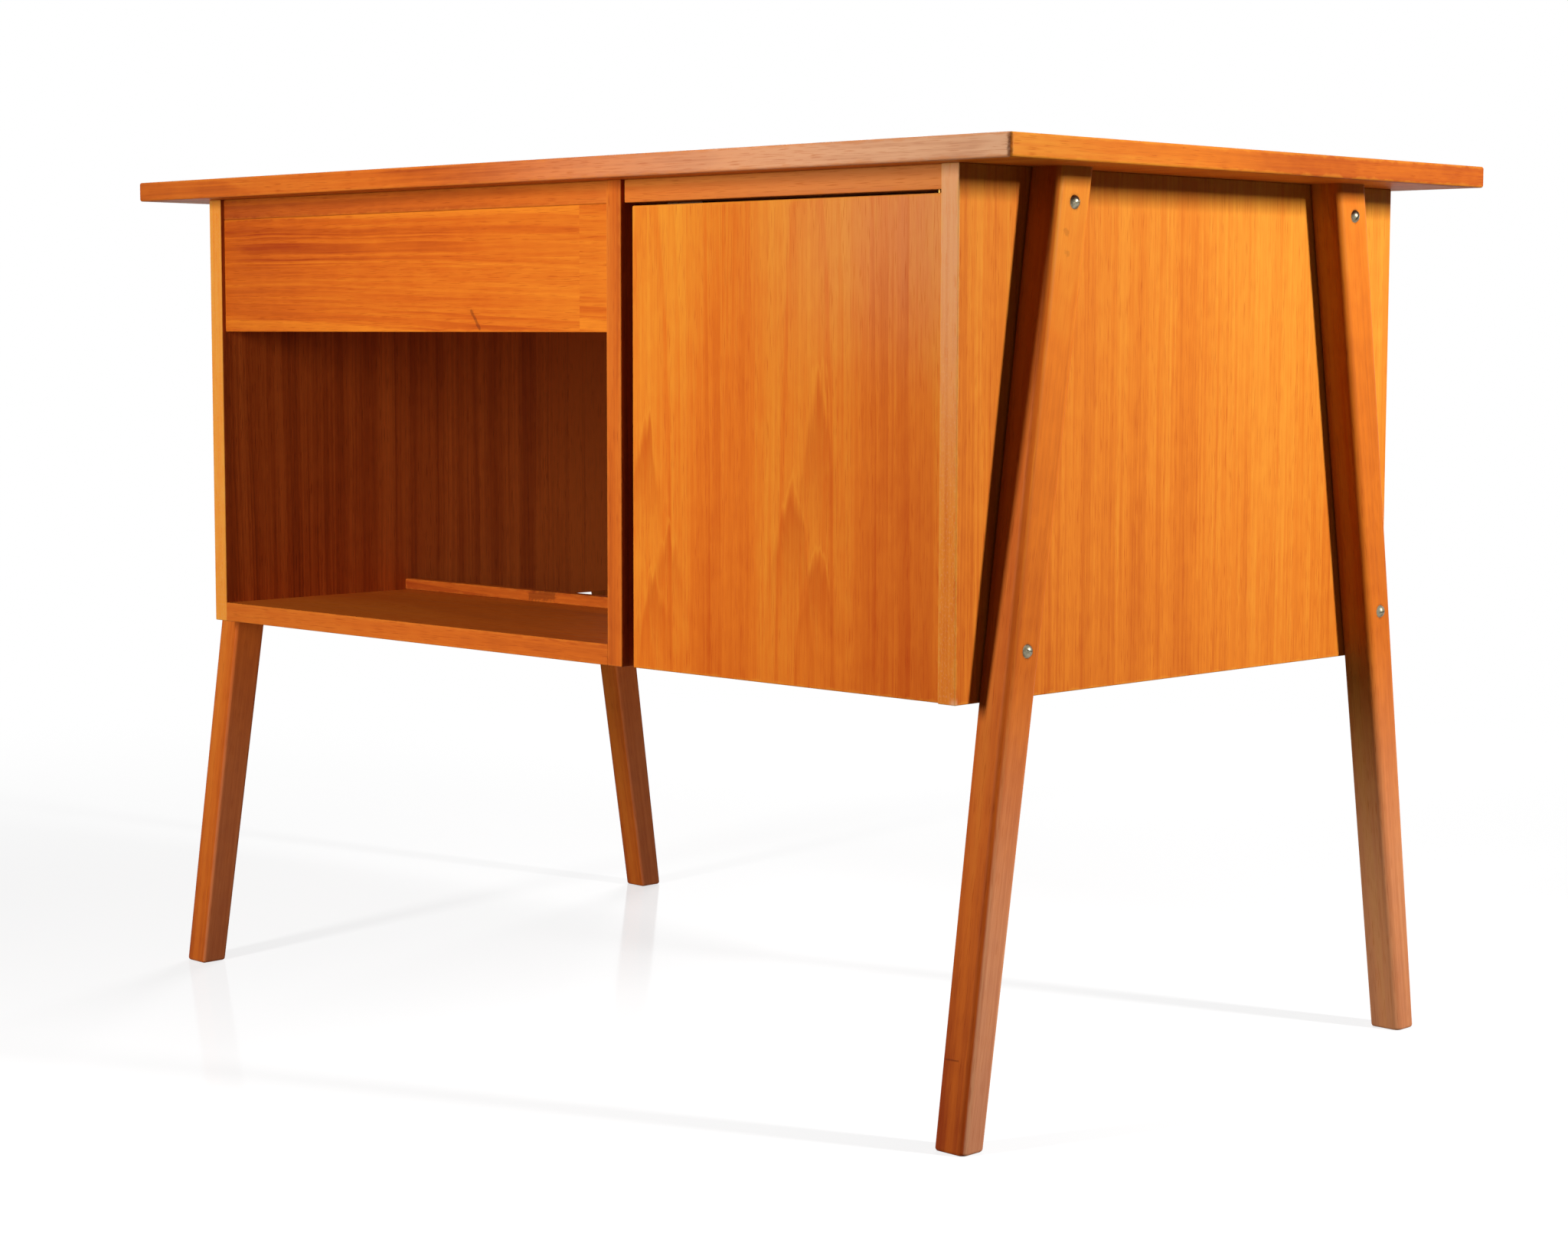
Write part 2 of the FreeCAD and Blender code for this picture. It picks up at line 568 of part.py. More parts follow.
pieces["pedestal_partition"] = cut_all(partition, dowel_holes)


# Drawers: fronts on side-hung boxes that slide on runners

def runner_pair(bay, rear, rise):
    """The two runners on the walls of a bay, stopped short of the drawer's front."""
    reach = DRAWER_SIDE_ROOM + RUNNER_IN_GROOVE
    along = (rear, FRONT_BACK - RUNNER_STOP - RUNNER_STOP_ROOM)
    return [block((bay[0], bay[0] + reach), along, rise), block((bay[1] - reach, bay[1]), along, rise)]


def drawer(name, bay, front, box_base, rear):
    """The five boards of a drawer in a bay; front gives its front's lower and upper edge.

    Returns the lower and upper face of its runners, half way up the inside of the box.
    """
    outer = (bay[0] + DRAWER_SIDE_ROOM, bay[1] - DRAWER_SIDE_ROOM)
    inner = (outer[0] + DRAWER_SIDE, outer[1] - DRAWER_SIDE)
    box_top = front[1] - DRAWER_SIDE_DROP
    bottom = (box_base + BOTTOM_RAISE, box_base + BOTTOM_RAISE + DRAWER_BOTTOM)

    groove_depth = BOTTOM_IN_GROOVE + BOTTOM_END_ROOM
    bottom_groove = block((inner[0] - groove_depth, inner[1] + groove_depth),
                          (rear, FRONT_BACK + groove_depth),
                          (bottom[0] - BOTTOM_FIT, bottom[1] + BOTTOM_FIT))
    middle = (bottom[1] + box_top) / 2
    low, high = middle - RUNNER_HEIGHT / 2, middle + RUNNER_HEIGHT / 2
    runner_depth = RUNNER_IN_GROOVE + RUNNER_TIP_ROOM
    runner_run = (rear, FRONT_BACK - RUNNER_STOP)
    runner_rise = (low - RUNNER_BASE_ROOM, high + RUNNER_TOP_ROOM)
    runner_grooves = [block((outer[0], outer[0] + runner_depth), runner_run, runner_rise),
                      block((outer[1] - runner_depth, outer[1]), runner_run, runner_rise)]

    face = board((bay[0] + SIDE_GAP, bay[1] - SIDE_GAP), (FRONT_BACK, FACE), front, FRONT_ARRIS)
    pieces[name + "_front"] = face.cut(bottom_groove)
    for side_name, x in (("left", (outer[0], inner[0])), ("right", (inner[1], outer[1]))):
        side = board(x, (rear, FRONT_BACK), (box_base, box_top))
        pieces[name + "_side_" + side_name] = cut_all(side, [bottom_groove] + runner_grooves)
    pieces[name + "_back"] = board(inner, (rear, rear + DRAWER_BACK), (bottom[1], box_top))
    pieces[name + "_bottom"] = block((inner[0] - BOTTOM_IN_GROOVE, inner[1] + BOTTOM_IN_GROOVE),
                                     (rear, FRONT_BACK + BOTTOM_IN_GROOVE), bottom)
    return low, high


knee_bay = (-INNER_END, DIVIDER_LEFT)
wide_front = (APRON_BASE + WIDE_FRONT_RAISE, RAIL_BASE - FINGER_GAP)
wide_rise = drawer("wide_drawer", knee_bay, wide_front, wide_front[0] + DRAWER_SIDE_RAISE, WIDE_DRAWER_REAR)
pieces["wide_drawer_runners"] = Part.makeCompound(runner_pair(knee_bay, WIDE_DRAWER_REAR, wide_rise))

pedestal_bay = (DIVIDER_RIGHT, INNER_END)
front_pitch = (RAIL_BASE - FLOOR_GAP) / DRAWER_COUNT
pedestal_runners = []
for level, name in enumerate(("lower", "middle", "upper")[:DRAWER_COUNT]):
    front_base = FLOOR_GAP + level * front_pitch
    front = (front_base, front_base + front_pitch - FINGER_GAP)
    box_base = max(front_base + DRAWER_SIDE_RAISE, BASE_TOP + DRAWER_BASE_ROOM)
    rise = drawer(name + "_drawer", pedestal_bay, front, box_base, DRAWER_REAR)
    pedestal_runners += runner_pair(pedestal_bay, SHELF_REAR, rise)
pieces["pedestal_runners"] = Part.makeCompound(pedestal_runners)


os.makedirs("parts", exist_ok=True)
for name, shape in pieces.items():
    shape.exportStep(os.path.join("parts", name + ".step"))
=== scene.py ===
import math

import bmesh
import bpy
from bpy.props import FloatProperty, FloatVectorProperty, PointerProperty
from mathutils import Matrix, Vector


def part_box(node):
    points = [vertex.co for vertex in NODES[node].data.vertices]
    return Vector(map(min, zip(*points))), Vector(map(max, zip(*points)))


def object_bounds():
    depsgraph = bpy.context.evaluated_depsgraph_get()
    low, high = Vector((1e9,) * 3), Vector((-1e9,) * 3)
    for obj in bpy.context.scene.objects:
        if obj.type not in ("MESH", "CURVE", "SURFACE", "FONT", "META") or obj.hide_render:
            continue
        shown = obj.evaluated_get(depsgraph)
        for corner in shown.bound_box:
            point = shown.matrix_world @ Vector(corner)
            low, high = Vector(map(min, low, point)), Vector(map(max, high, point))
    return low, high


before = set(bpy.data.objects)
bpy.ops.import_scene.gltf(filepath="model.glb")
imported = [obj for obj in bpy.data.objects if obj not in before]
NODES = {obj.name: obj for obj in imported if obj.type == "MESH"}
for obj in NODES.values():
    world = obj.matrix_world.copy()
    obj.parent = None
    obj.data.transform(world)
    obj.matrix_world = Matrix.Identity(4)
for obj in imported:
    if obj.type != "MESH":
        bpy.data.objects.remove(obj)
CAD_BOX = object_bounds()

bl_info = {
    "name": "Teak desk finish",
    "version": (1, 0, 0),
    "blender": (4, 5, 0),
    "location": "View3D > Sidebar > Desk",
    "description": "Gives the parts of a teak desk their timber and metal finishes and sets up a pale studio",
    "category": "Object",
}

BLACK = (0.0, 0.0, 0.0, 1.0)
WHITE = (1.0, 1.0, 1.0, 1.0)

# Finishes. Lengths are in metres
EDGE_SKIN = 0.0012  # how far behind a board's front edge the edge's own tones reach
EDGE_BLEND = 0.0006  # over how much of that they come in
FLAME_RIM = 0.3  # strength of the pale line round a flame tip
WEAR_PALE = 0.35  # strength of the pale tone on rubbed arrises
WEAR_ROUGH = 0.12  # roughness that rubbing adds
TIMBER_GLOSS = 0.06  # specular level of the oiled timber
GRAIN_RELIEF = {"Strength": 0.25, "Distance": 0.0004}
METAL_RELIEF = {"Strength": 0.15, "Distance": 0.0001}

# Patches of noise per metre across, through and along the grain
SLOW_WAVER = (7, 7, 1.6)
QUICK_WAVER = (34, 34, 6)
RING_FADE = (22, 22, 5)
FIBRES = (330, 330, 5)
MOTTLE = (95, 95, 48)
TONE = (5, 5, 1.8)
PORES = (1500, 1500, 60)

# Patches of noise per metre along x, y and z
FLAME_RAG = (60, 60, 14)
FLAME_SPLINTERS = (240, 240, 16)
WEAR_FRAY = (90, 90, 90)
MARK_FRAY = (420, 420, 420)
EDGE_SPECKS = (900, 900, 450)
TARNISH = (260, 260, 260)
SCRATCHES = (900, 5200, 900)


# Settings

def srgb(red, green, blue):
    """A colour written as on a screen, 0 to 255, turned into the linear values that Blender keeps."""
    def linear(value):
        level = value / 255
        return level / 12.92 if level <= 0.04045 else ((level + 0.055) / 1.055) ** 2.4
    return (linear(red), linear(green), linear(blue))


def colour(name, description, red, green, blue):
    """A colour setting, its default written as on a screen."""
    return FloatVectorProperty(name=name, description=description, subtype="COLOR", size=3,
                               min=0.0, max=1.0, default=srgb(red, green, blue))


def share(name, description, default):
    """A setting from 0 to 1."""
    return FloatProperty(name=name, description=description, subtype="FACTOR", min=0.0, max=1.0,
                         default=default)


def length(name, description, default):
    """A length in metres."""
    return FloatProperty(name=name, description=description, subtype="DISTANCE", unit="LENGTH", min=0.0,
                         default=default)


def power(name, description, default):
    """The power of a lamp in watts."""
    return FloatProperty(name=name, description=description, subtype="POWER", unit="POWER", min=0.0,
                         default=default)


class DeskTimber(bpy.types.PropertyGroup):
    """Tones of the timbers, three to a set, and how they have worn"""
    veneer_pale: colour("Veneer, pale", "Palest bands of the teak veneer", 254, 170, 58)
    veneer_mid: colour("Veneer, middle", "Main colour of the teak veneer", 236, 132, 40)
    veneer_dark: colour("Veneer, dark", "Darkest lines of the teak veneer", 196, 84, 24)
    door_pale: colour("Door veneer, pale", "Palest bands of the door", 255, 164, 50)
    door_mid: colour("Door veneer, middle", "Main colour of the door", 239, 123, 32)
    door_dark: colour("Door veneer, dark", "Darkest lines of the door", 202, 74, 10)
    apron_pale: colour("Apron, pale", "Palest bands of the apron", 250, 142, 38)
    apron_mid: colour("Apron, middle", "Main colour of the apron", 224, 106, 26)
    apron_dark: colour("Apron, dark", "Darkest lines of the apron", 176, 62, 14)
    solid_pale: colour("Solid teak, pale", "Palest bands of the solid teak", 240, 136, 46)
    solid_mid: colour("Solid teak, middle", "Main colour of the solid teak", 220, 108, 32)
    solid_dark: colour("Solid teak, dark", "Darkest lines of the solid teak", 168, 66, 20)
    edge_pale: colour("Board edge, pale", "Palest bands on the edges of the boards", 255, 184, 80)
    edge_mid: colour("Board edge, middle", "Main colour of the edges of the boards", 255, 152, 50)
    edge_dark: colour("Board edge, dark", "Darkest lines on the edges of the boards", 226, 108, 30)
    leg_pale: colour("Leg, pale", "Palest bands of the legs", 255, 172, 58)
    leg_mid: colour("Leg, middle", "Main colour of the legs", 234, 126, 36)
    leg_dark: colour("Leg, dark", "Darkest lines of the legs", 180, 76, 24)
    striped_pale: colour("Striped veneer, pale", "Palest bands inside the open shelf", 250, 124, 48)
    striped_mid: colour("Striped veneer, middle", "Main colour inside the open shelf", 206, 90, 32)
    striped_dark: colour("Striped veneer, dark", "Dark stripes inside the open shelf", 132, 48, 20)
    beech_pale: colour("Beech, pale", "Palest bands of the drawer boxes", 238, 198, 146)
    beech_mid: colour("Beech, middle", "Main colour of the drawer boxes", 224, 174, 118)
    beech_dark: colour("Beech, dark", "Darkest lines of the drawer boxes", 192, 136, 82)
    plywood_pale: colour("Plywood, pale", "Palest bands of the drawer bottoms", 240, 208, 160)
    plywood_mid: colour("Plywood, middle", "Main colour of the drawer bottoms", 228, 188, 136)
    plywood_dark: colour("Plywood, dark", "Darkest lines of the drawer bottoms", 204, 156, 102)
    mark: colour("Marks", "Colour of knots, cracks and the dark rings round screws", 96, 34, 14)
    # Painted sheen, painted reflection of the white floor and painted bounce light are mixed in with this
    # colour; it also gives the pale specks on the edges of the boards
    bleached: colour("Bleached", "Colour of the timber where light and cleaning have bleached it",
                     255, 194, 148)
    sheen: share("Oil roughness", "Roughness of the oiled surface", 0.46)
    wear_width: length("Arris wear", "Width of the rubbed band along the arrises", 0.003)


class DeskMetal(bpy.types.PropertyGroup):
    """Colours of the fittings, each with the colour that it takes where it is dull or rubbed"""
    brass: colour("Brass", "Colour of the hinges, pegs and small screws", 172, 126, 60)
    brass_tarnish: colour("Brass tarnish", "Colour of the dulled brass", 92, 62, 30)
    steel: colour("Nickelled steel", "Colour of the leg screws and the strike", 150, 144, 124)
    steel_tarnish: colour("Steel tarnish", "Colour of the dulled steel", 78, 68, 44)
    plastic: colour("Catch plastic", "Colour of the catch's case", 92, 58, 36)
    plastic_scuff: colour("Catch scuffs", "Colour of the rubbed parts of the catch", 126, 92, 64)


class DeskStage(bpy.types.PropertyGroup):
    """The studio: its floor, its light and the camera's lens"""
    floor: colour("Floor", "Colour of the pale floor, for the light that it throws back", 100, 98, 96)
    surround: colour("Surround", "Colour of the soft light from all round", 240, 242, 248)
    surround_level: share("Surround level", "Strength of the soft light from all round", 0.03)
    end_power: power("End light", "Power of the lamp beyond the right-hand end", 24.5)
    front_power: power("Front light", "Power of the lamp in front, to the left", 9.7)
    back_power: power("Back light", "Power of the soft lamp behind, to the left", 55.0)
    fill_power: power("Fill light", "Power of the low lamp that lights only the left-hand legs", 22.0)
    top_power: power("Top light", "Power of the soft lamp over the desktop and the open drawers", 12.0)
    lens: FloatProperty(name="Lens", description="Focal length on a 36 mm wide sensor, in millimetres",
                        unit="CAMERA", min=10.0, default=69.08)
    floor_size: length("Floor size", "Length of the floor's sides", 8.0)


# Node trees

class Tree:
    """Adds nodes to a node tree. An input is a plain value or another node's output."""

    def __init__(self, tree):
        self.tree = tree

    def link(self, value, socket):
        if isinstance(value, bpy.types.NodeSocket):
            self.tree.links.new(value, socket)
        else:
            socket.default_value = value

    def add(self, kind, inputs=(), **settings):
        node = self.tree.nodes.new("ShaderNode" + kind)
        for key, value in settings.items():
            setattr(node, key, value)
        for key, value in dict(inputs).items():
            self.link(value, node.inputs[key])
        return node

    def group(self, build, **inputs):
        """Places a shared group. It has its builder's name, and is built when it is first asked for."""
        name = build.__name__.replace("_", " ")
        node = self.add("Group", node_tree=bpy.data.node_groups.get(name) or build(name))
        for key, value in inputs.items():
            self.link(value, node.inputs[key.replace("_", " ")])
        return node.outputs

    def math(self, operation, *values):
        return self.add("Math", enumerate(values), operation=operation).outputs[0]

    def vector_math(self, operation, *values):
        return self.add("VectorMath", enumerate(values), operation=operation).outputs[0]

    def measure(self, operation, *vectors):
        """A vector operation that gives a number."""
        return self.add("VectorMath", enumerate(vectors), operation=operation).outputs["Value"]

    def scaled(self, vector, size):
        return self.add("VectorMath", {0: vector, "Scale": size}, operation="SCALE").outputs[0]

    def split(self, vector):
        return list(self.add("SeparateXYZ", {0: vector}).outputs)

    def mix(self, factor, first, second, blend="MIX"):
        node = self.add("Mix", {0: factor, 6: first, 7: second}, data_type="RGBA", blend_type=blend)
        return node.outputs[2]

    def ramp(self, value, low, high, to_low=0.0, to_high=1.0):
        """Goes smoothly from one value to another between low and high. High may be the lesser one."""
        node = self.add("MapRange", {"Value": value, "From Min": low, "From Max": high,
                                     "To Min": to_low, "To Max": to_high}, interpolation_type="SMOOTHSTEP")
        return node.outputs[0]

    def fall(self, value, low, high):
        """1 up to low, and 0 from high on."""
        return self.ramp(value, low, high, 1.0, 0.0)

    def noise(self, vector, patches, detail=2.0, roughness=0.5):
        """Noise with so many patches per metre in each direction."""
        place = self.vector_math("MULTIPLY", vector, patches)
        node = self.add("TexNoise", {"Vector": place, "Scale": 1.0, "Detail": detail,
                                     "Roughness": roughness})
        return node.outputs[0]

    def line_noise(self, place, detail):
        node = self.add("TexNoise", {"W": place, "Scale": 1.0, "Detail": detail}, noise_dimensions="1D")
        return node.outputs[0]

    def signed(self, value, size):
        """A noise value moved to lie about zero and scaled."""
        return self.math("MULTIPLY_ADD", value, size, -size / 2)

    def looked_at(self):
        """1 for rays that see a surface, also in a reflection or through glass, and 0 for the others."""
        path = self.add("LightPath").outputs
        return self.math("MAXIMUM", path["Is Camera Ray"],
                         self.math("MAXIMUM", path["Is Glossy Ray"], path["Is Transmission Ray"]))


def new_group(name, inputs, outputs):
    """A shader node group with its sockets: its tree, what it is given and what it puts out."""
    group = bpy.data.node_groups.new(name, "ShaderNodeTree")
    for socket, (kind, default) in inputs.items():
        made = group.interface.new_socket(socket, in_out="INPUT", socket_type="NodeSocket" + kind)
        if default is not None:
            made.default_value = default
    for socket, kind in outputs.items():
        group.interface.new_socket(socket, in_out="OUTPUT", socket_type="NodeSocket" + kind)
    given = group.nodes.new("NodeGroupInput").outputs
    out = group.nodes.new("NodeGroupOutput").inputs
    return Tree(group), given, out


def timber_figure(name):
    """Growth rings as a board's face cuts them, with fibres, pores and slow changes of tone."""
    tree, given, out = new_group(
        name,
        {"Vector": ("Vector", None), "Pale": ("Color", None), "Mid": ("Color", None), "Dark": ("Color", None),
         "Heart Depth": ("Float", 0.06), "Slope": ("Float", 0.06), "Ring": ("Float", 0.006),
         "Waver": ("Float", 0.006), "Bands": ("Float", 0.5), "Rings": ("Float", 0.4), "Fibre": ("Float", 0.3),
         "Mottle": ("Float", 0.2), "Tone": ("Float", 0.3), "Shift": ("Float", 0.0), "Sheen": ("Float", 0.45)},
        {"Color": "Color", "Roughness": "Float", "Height": "Float"})
    place = given["Vector"]
    # A place's distance from the wavering heart of the log tells which ring it lies in
    slow = tree.noise(place, SLOW_WAVER, 1)
    quick = tree.noise(place, QUICK_WAVER, 2)
    drift = tree.math("ADD", tree.signed(slow, 5.0), tree.signed(quick, 0.9))
    drift = tree.math("MULTIPLY", drift, given["Waver"])
    across, through, along = tree.split(place)
    side = tree.math("ADD", across, drift)
    depth = tree.math("MULTIPLY_ADD", along, given["Slope"], given["Heart Depth"])
    depth = tree.math("ADD", tree.math("ADD", depth, through), drift)
    radius = tree.math("SQRT", tree.math("ADD", tree.math("MULTIPLY", side, side),
                                         tree.math("MULTIPLY", depth, depth)))
    count = tree.math("DIVIDE", radius, given["Ring"])
    unevenness = tree.line_noise(tree.math("MULTIPLY", count, 0.37), 1)
    count = tree.math("ADD", count, tree.signed(unevenness, 2.4))
    # Each ring darkens slowly outwards and ends sharply; some rings are strong and some faint
    part = tree.math("FRACT", count)
    late = tree.math("MULTIPLY", tree.ramp(part, 0.15, 0.9), tree.fall(part, 0.9, 1.0))
    strength = tree.line_noise(tree.math("MULTIPLY", tree.math("FLOOR", count), 7.31), 0)
    fade = tree.noise(place, RING_FADE, 1)
    late = tree.math("MULTIPLY", late, tree.math("MULTIPLY", tree.ramp(strength, 0.3, 0.75, 0.1, 1.0),
                                                 tree.ramp(fade, 0.3, 0.65, 0.25, 1.0)))
    bands = tree.line_noise(tree.math("MULTIPLY", count, 0.31), 1)
    fibre = tree.noise(place, FIBRES, 3, 0.6)
    mottle = tree.noise(place, MOTTLE, 2)
    tone = tree.noise(place, TONE, 2)
    pores = tree.ramp(tree.noise(place, PORES, 0), 0.58, 0.76)
    pores = tree.math("MULTIPLY", pores, tree.ramp(part, 0.95, 0.2, 0.35, 1.0))
    # The value is 0 where the timber is dark, a half where it is middling and 1 where it is pale
    value = tree.math("MULTIPLY_ADD", tree.math("MULTIPLY", late, given["Rings"]), -1.0, 0.55)
    value = tree.math("ADD", value, given["Shift"])
    for noise, weight, size in ((bands, "Bands", 2.4), (fibre, "Fibre", 2.0), (mottle, "Mottle", 2.0),
                                (tone, "Tone", 2.2)):
        value = tree.math("ADD", value, tree.math("MULTIPLY", tree.signed(noise, size), given[weight]))
    shade = tree.mix(tree.math("MULTIPLY", value, 2.0), given["Dark"], given["Mid"])
    shade = tree.mix(tree.math("MULTIPLY_ADD", value, 2.0, -1.0), shade, given["Pale"])
    shade = tree.mix(tree.math("MULTIPLY", pores, 0.3), shade, given["Dark"], "MULTIPLY")
    tree.link(shade, out["Color"])
    rough = tree.math("ADD", given["Sheen"], tree.signed(fibre, 0.2))
    tree.link(tree.math("MULTIPLY_ADD", pores, 0.2, rough), out["Roughness"])
    height = tree.math("ADD", tree.math("MULTIPLY", fibre, 0.8), tree.math("MULTIPLY", late, -0.3))
    tree.link(tree.math("MULTIPLY_ADD", pores, -0.7, height), out["Height"])
    return tree.tree


def arris_wear(name):
    """A mask along the edges of a square board, broken up as rubbing leaves it."""
    tree, given, out = new_group(
        name,
        {"Vector": ("Vector", None), "Low": ("Vector", None), "High": ("Vector", None),
         "Width": ("Float", 0.003)},
        {"Wear": "Float"})
    # On an arris two of the three distances to the board's faces are small, so the middle one tells
    inside = tree.vector_math("MINIMUM", tree.vector_math("SUBTRACT", given["Vector"], given["Low"]),
                              tree.vector_math("SUBTRACT", given["High"], given["Vector"]))
    x, y, z = tree.split(inside)
    nearest = tree.math("MINIMUM", x, y)
    next_one = tree.math("MINIMUM", tree.math("MAXIMUM", x, y), z)
    median = tree.math("MAXIMUM", nearest, next_one)
    fray = tree.noise(given["Vector"], WEAR_FRAY, 3)
    reach = tree.math("MULTIPLY", given["Width"], tree.ramp(fray, 0.25, 0.8, 0.25, 1.6))
    tree.link(tree.fall(tree.math("DIVIDE", median, reach), 0.1, 1.0), out["Wear"])
    return tree.tree


def dark_mark(name):
    """A ragged mark along a short line: a crack, a knot or the stain round a screw."""
    tree, given, out = new_group(
        name,
        {"Vector": ("Vector", None), "Start": ("Vector", None), "Line": ("Vector", None),
         "Width": ("Float", 0.002), "Rag": ("Float", 0.5)},
        {"Mark": "Float"})
    offset = tree.vector_math("SUBTRACT", given["Vector"], given["Start"])
    onto = tree.measure("DOT_PRODUCT", offset, given["Line"])
    full = tree.measure("DOT_PRODUCT", given["Line"], given["Line"])
    along = tree.add("Clamp", {0: tree.math("DIVIDE", onto, full)}).outputs[0]
    nearest = tree.scaled(given["Line"], along)
    gap = tree.measure("LENGTH", tree.vector_math("SUBTRACT", offset, nearest))
    fray = tree.noise(given["Vector"], MARK_FRAY, 3)
    ratio = tree.math("DIVIDE", gap, given["Width"])
    ratio = tree.math("ADD", ratio, tree.math("MULTIPLY", tree.signed(fray, 2.0), given["Rag"]))
    tree.link(tree.fall(ratio, 0.35, 1.0), out["Mark"])
    return tree.tree


def flame_tip(name):
    """The end of a growth ring on a flat-cut face: dark below a ragged tip, with a pale line round it."""
    tree, given, out = new_group(
        name,
        {"Vector": ("Vector", None), "Tip": ("Vector", None), "Width": ("Float", 0.02),
         "Length": ("Float", 0.1)},
        {"Fill": "Float", "Rim": "Float"})
    across, _, along = tree.split(tree.vector_math("SUBTRACT", given["Vector"], given["Tip"]))
    rag = tree.noise(given["Vector"], FLAME_RAG, 2)
    splinter = tree.noise(given["Vector"], FLAME_SPLINTERS, 2)
    across = tree.math("ADD", across, tree.signed(rag, 0.024))
    across = tree.math("ABSOLUTE", tree.math("DIVIDE", across, given["Width"]))
    below = tree.math("DIVIDE", tree.math("MULTIPLY", along, -1.0), given["Length"])
    below = tree.math("ADD", below, tree.signed(splinter, 0.5))
    inside = tree.math("SUBTRACT", below, tree.math("POWER", across, 1.4))
    fill = tree.math("MULTIPLY", tree.ramp(inside, 0.0, 0.2), tree.fall(below, 0.1, 1.0))
    tree.link(fill, out["Fill"])
    rim = tree.math("MULTIPLY", tree.ramp(inside, -0.06, 0.0), tree.fall(inside, 0.0, 0.06))
    tree.link(tree.math("MULTIPLY", rim, tree.fall(below, 0.0, 0.4)), out["Rim"])
    return tree.tree


def handled_metal(name):
    """Tarnish, fine scratches and unevenness of small metal fittings."""
    tree, given, out = new_group(
        name,
        {"Vector": ("Vector", None), "Bright": ("Color", None), "Dull": ("Color", None),
         "Tarnish": ("Float", 0.4)},
        {"Color": "Color", "Roughness": "Float", "Height": "Float"})
    blotch = tree.noise(given["Vector"], TARNISH, 3)
    scratch = tree.noise(given["Vector"], SCRATCHES, 2)
    mask = tree.math("MULTIPLY", tree.ramp(blotch, 0.35, 0.7), given["Tarnish"])
    tree.link(tree.mix(mask, given["Bright"], given["Dull"]), out["Color"])
    rough = tree.math("ADD", tree.math("MULTIPLY_ADD", mask, 0.3, 0.24), tree.signed(scratch, 0.16))
    tree.link(rough, out["Roughness"])
    tree.link(tree.math("ADD", scratch, blotch), out["Height"])
    return tree.tree


# Materials

AXES = {"X": Vector((1, 0, 0)), "Y": Vector((0, 1, 0)), "Z": Vector((0, 0, 1))}


def cut_turn(across, through, along):
    """Turn that brings a board's own directions to the figure's across, through and along."""
    a, t, g = AXES[across], AXES[through], AXES[along]
    if a.cross(t).dot(g) < 0:
        a = -a
    return Matrix((a, t, g))


def tones(set_name):
    """The pale, middle and dark colours of a set."""
    timber = bpy.context.scene.desk_timber
    return [(*getattr(timber, set_name + "_" + part), 1.0) for part in ("pale", "mid", "dark")]


class Figure:
    """How one board is cut from its log, as values of the figure group.

    depth and slope place the log's heart behind the face, ring is the width of a growth ring and waver how
    far the rings wander. The others are the strengths of the markings.
    """

    def __init__(self, depth=0.3, slope=0.0, ring=0.006, waver=0.006, bands=0.25, rings=0.25, fibre=0.2,
                 mottle=0.12, tone=0.3):
        self.values = {"Heart_Depth": depth, "Slope": slope, "Ring": ring, "Waver": waver, "Bands": bands,
                       "Rings": rings, "Fibre": fibre, "Mottle": mottle, "Tone": tone}


class Edge:
    """An edge of a board that shows other tones: beyond a place on an axis, on one side.

    specks is the strength of the pale specks on it, and lift makes it paler.
    """

    def __init__(self, axis, place, side, set_name, specks=0.0, lift=0.0):
        self.axis, self.place, self.side, self.set_name = axis, place, side, set_name
        self.specks, self.lift = specks, lift


class Fade:
    """A slow change of tone over a board: its growth per metre along x, y and z from a place."""

    def __init__(self, place, growth):
        self.place, self.growth = place, growth


class PalePatch:
    """A paler part of a board, mostly painted sheen and painted reflected light: a depth, and spans on axes
    over which it grows from none to all.
    """

    def __init__(self, depth, *spans):
        self.depth, self.spans = depth, spans

    def mask(self, tree, axes, height):
        mask = self.depth
        for axis, start, end in self.spans:
            mask = tree.math("MULTIPLY", tree.ramp(axes[axis], start, end), mask)
        # The fibres take the pale tone unevenly
        return tree.math("MULTIPLY", mask, tree.ramp(height, 0.0, 0.4, 0.75, 1.2))


class Joint:
    """A join between two leaves of veneer: below a place on an axis, the figure is moved."""

    def __init__(self, axis, place, move):
        self.axis, self.place, self.move = axis, place, move


class Flame:
    """A flame tip on a flat-cut face: its tip, its half width at its length, and its depth of colour."""

    def __init__(self, tip, width, length, depth):
        self.inputs = {"Tip": tip, "Width": width, "Length": length}
        self.depth = depth


class Mark:
    """A dark mark from a start along a line, with its width, raggedness and depth of colour."""

    def __init__(self, start, line, width, rag, depth):
        self.inputs = {"Start": start, "Line": line, "Width": width, "Rag": rag}
        self.depth = depth


def start_material(name):
    """A new material, its tree, its shader and the piece's own coordinates."""
    material = bpy.data.materials.new(name)
    material.use_nodes = True
    tree = Tree(material.node_tree)
    coordinates = tree.add("TexCoord").outputs["Object"]
    return material, tree, material.node_tree.nodes["Principled BSDF"], coordinates


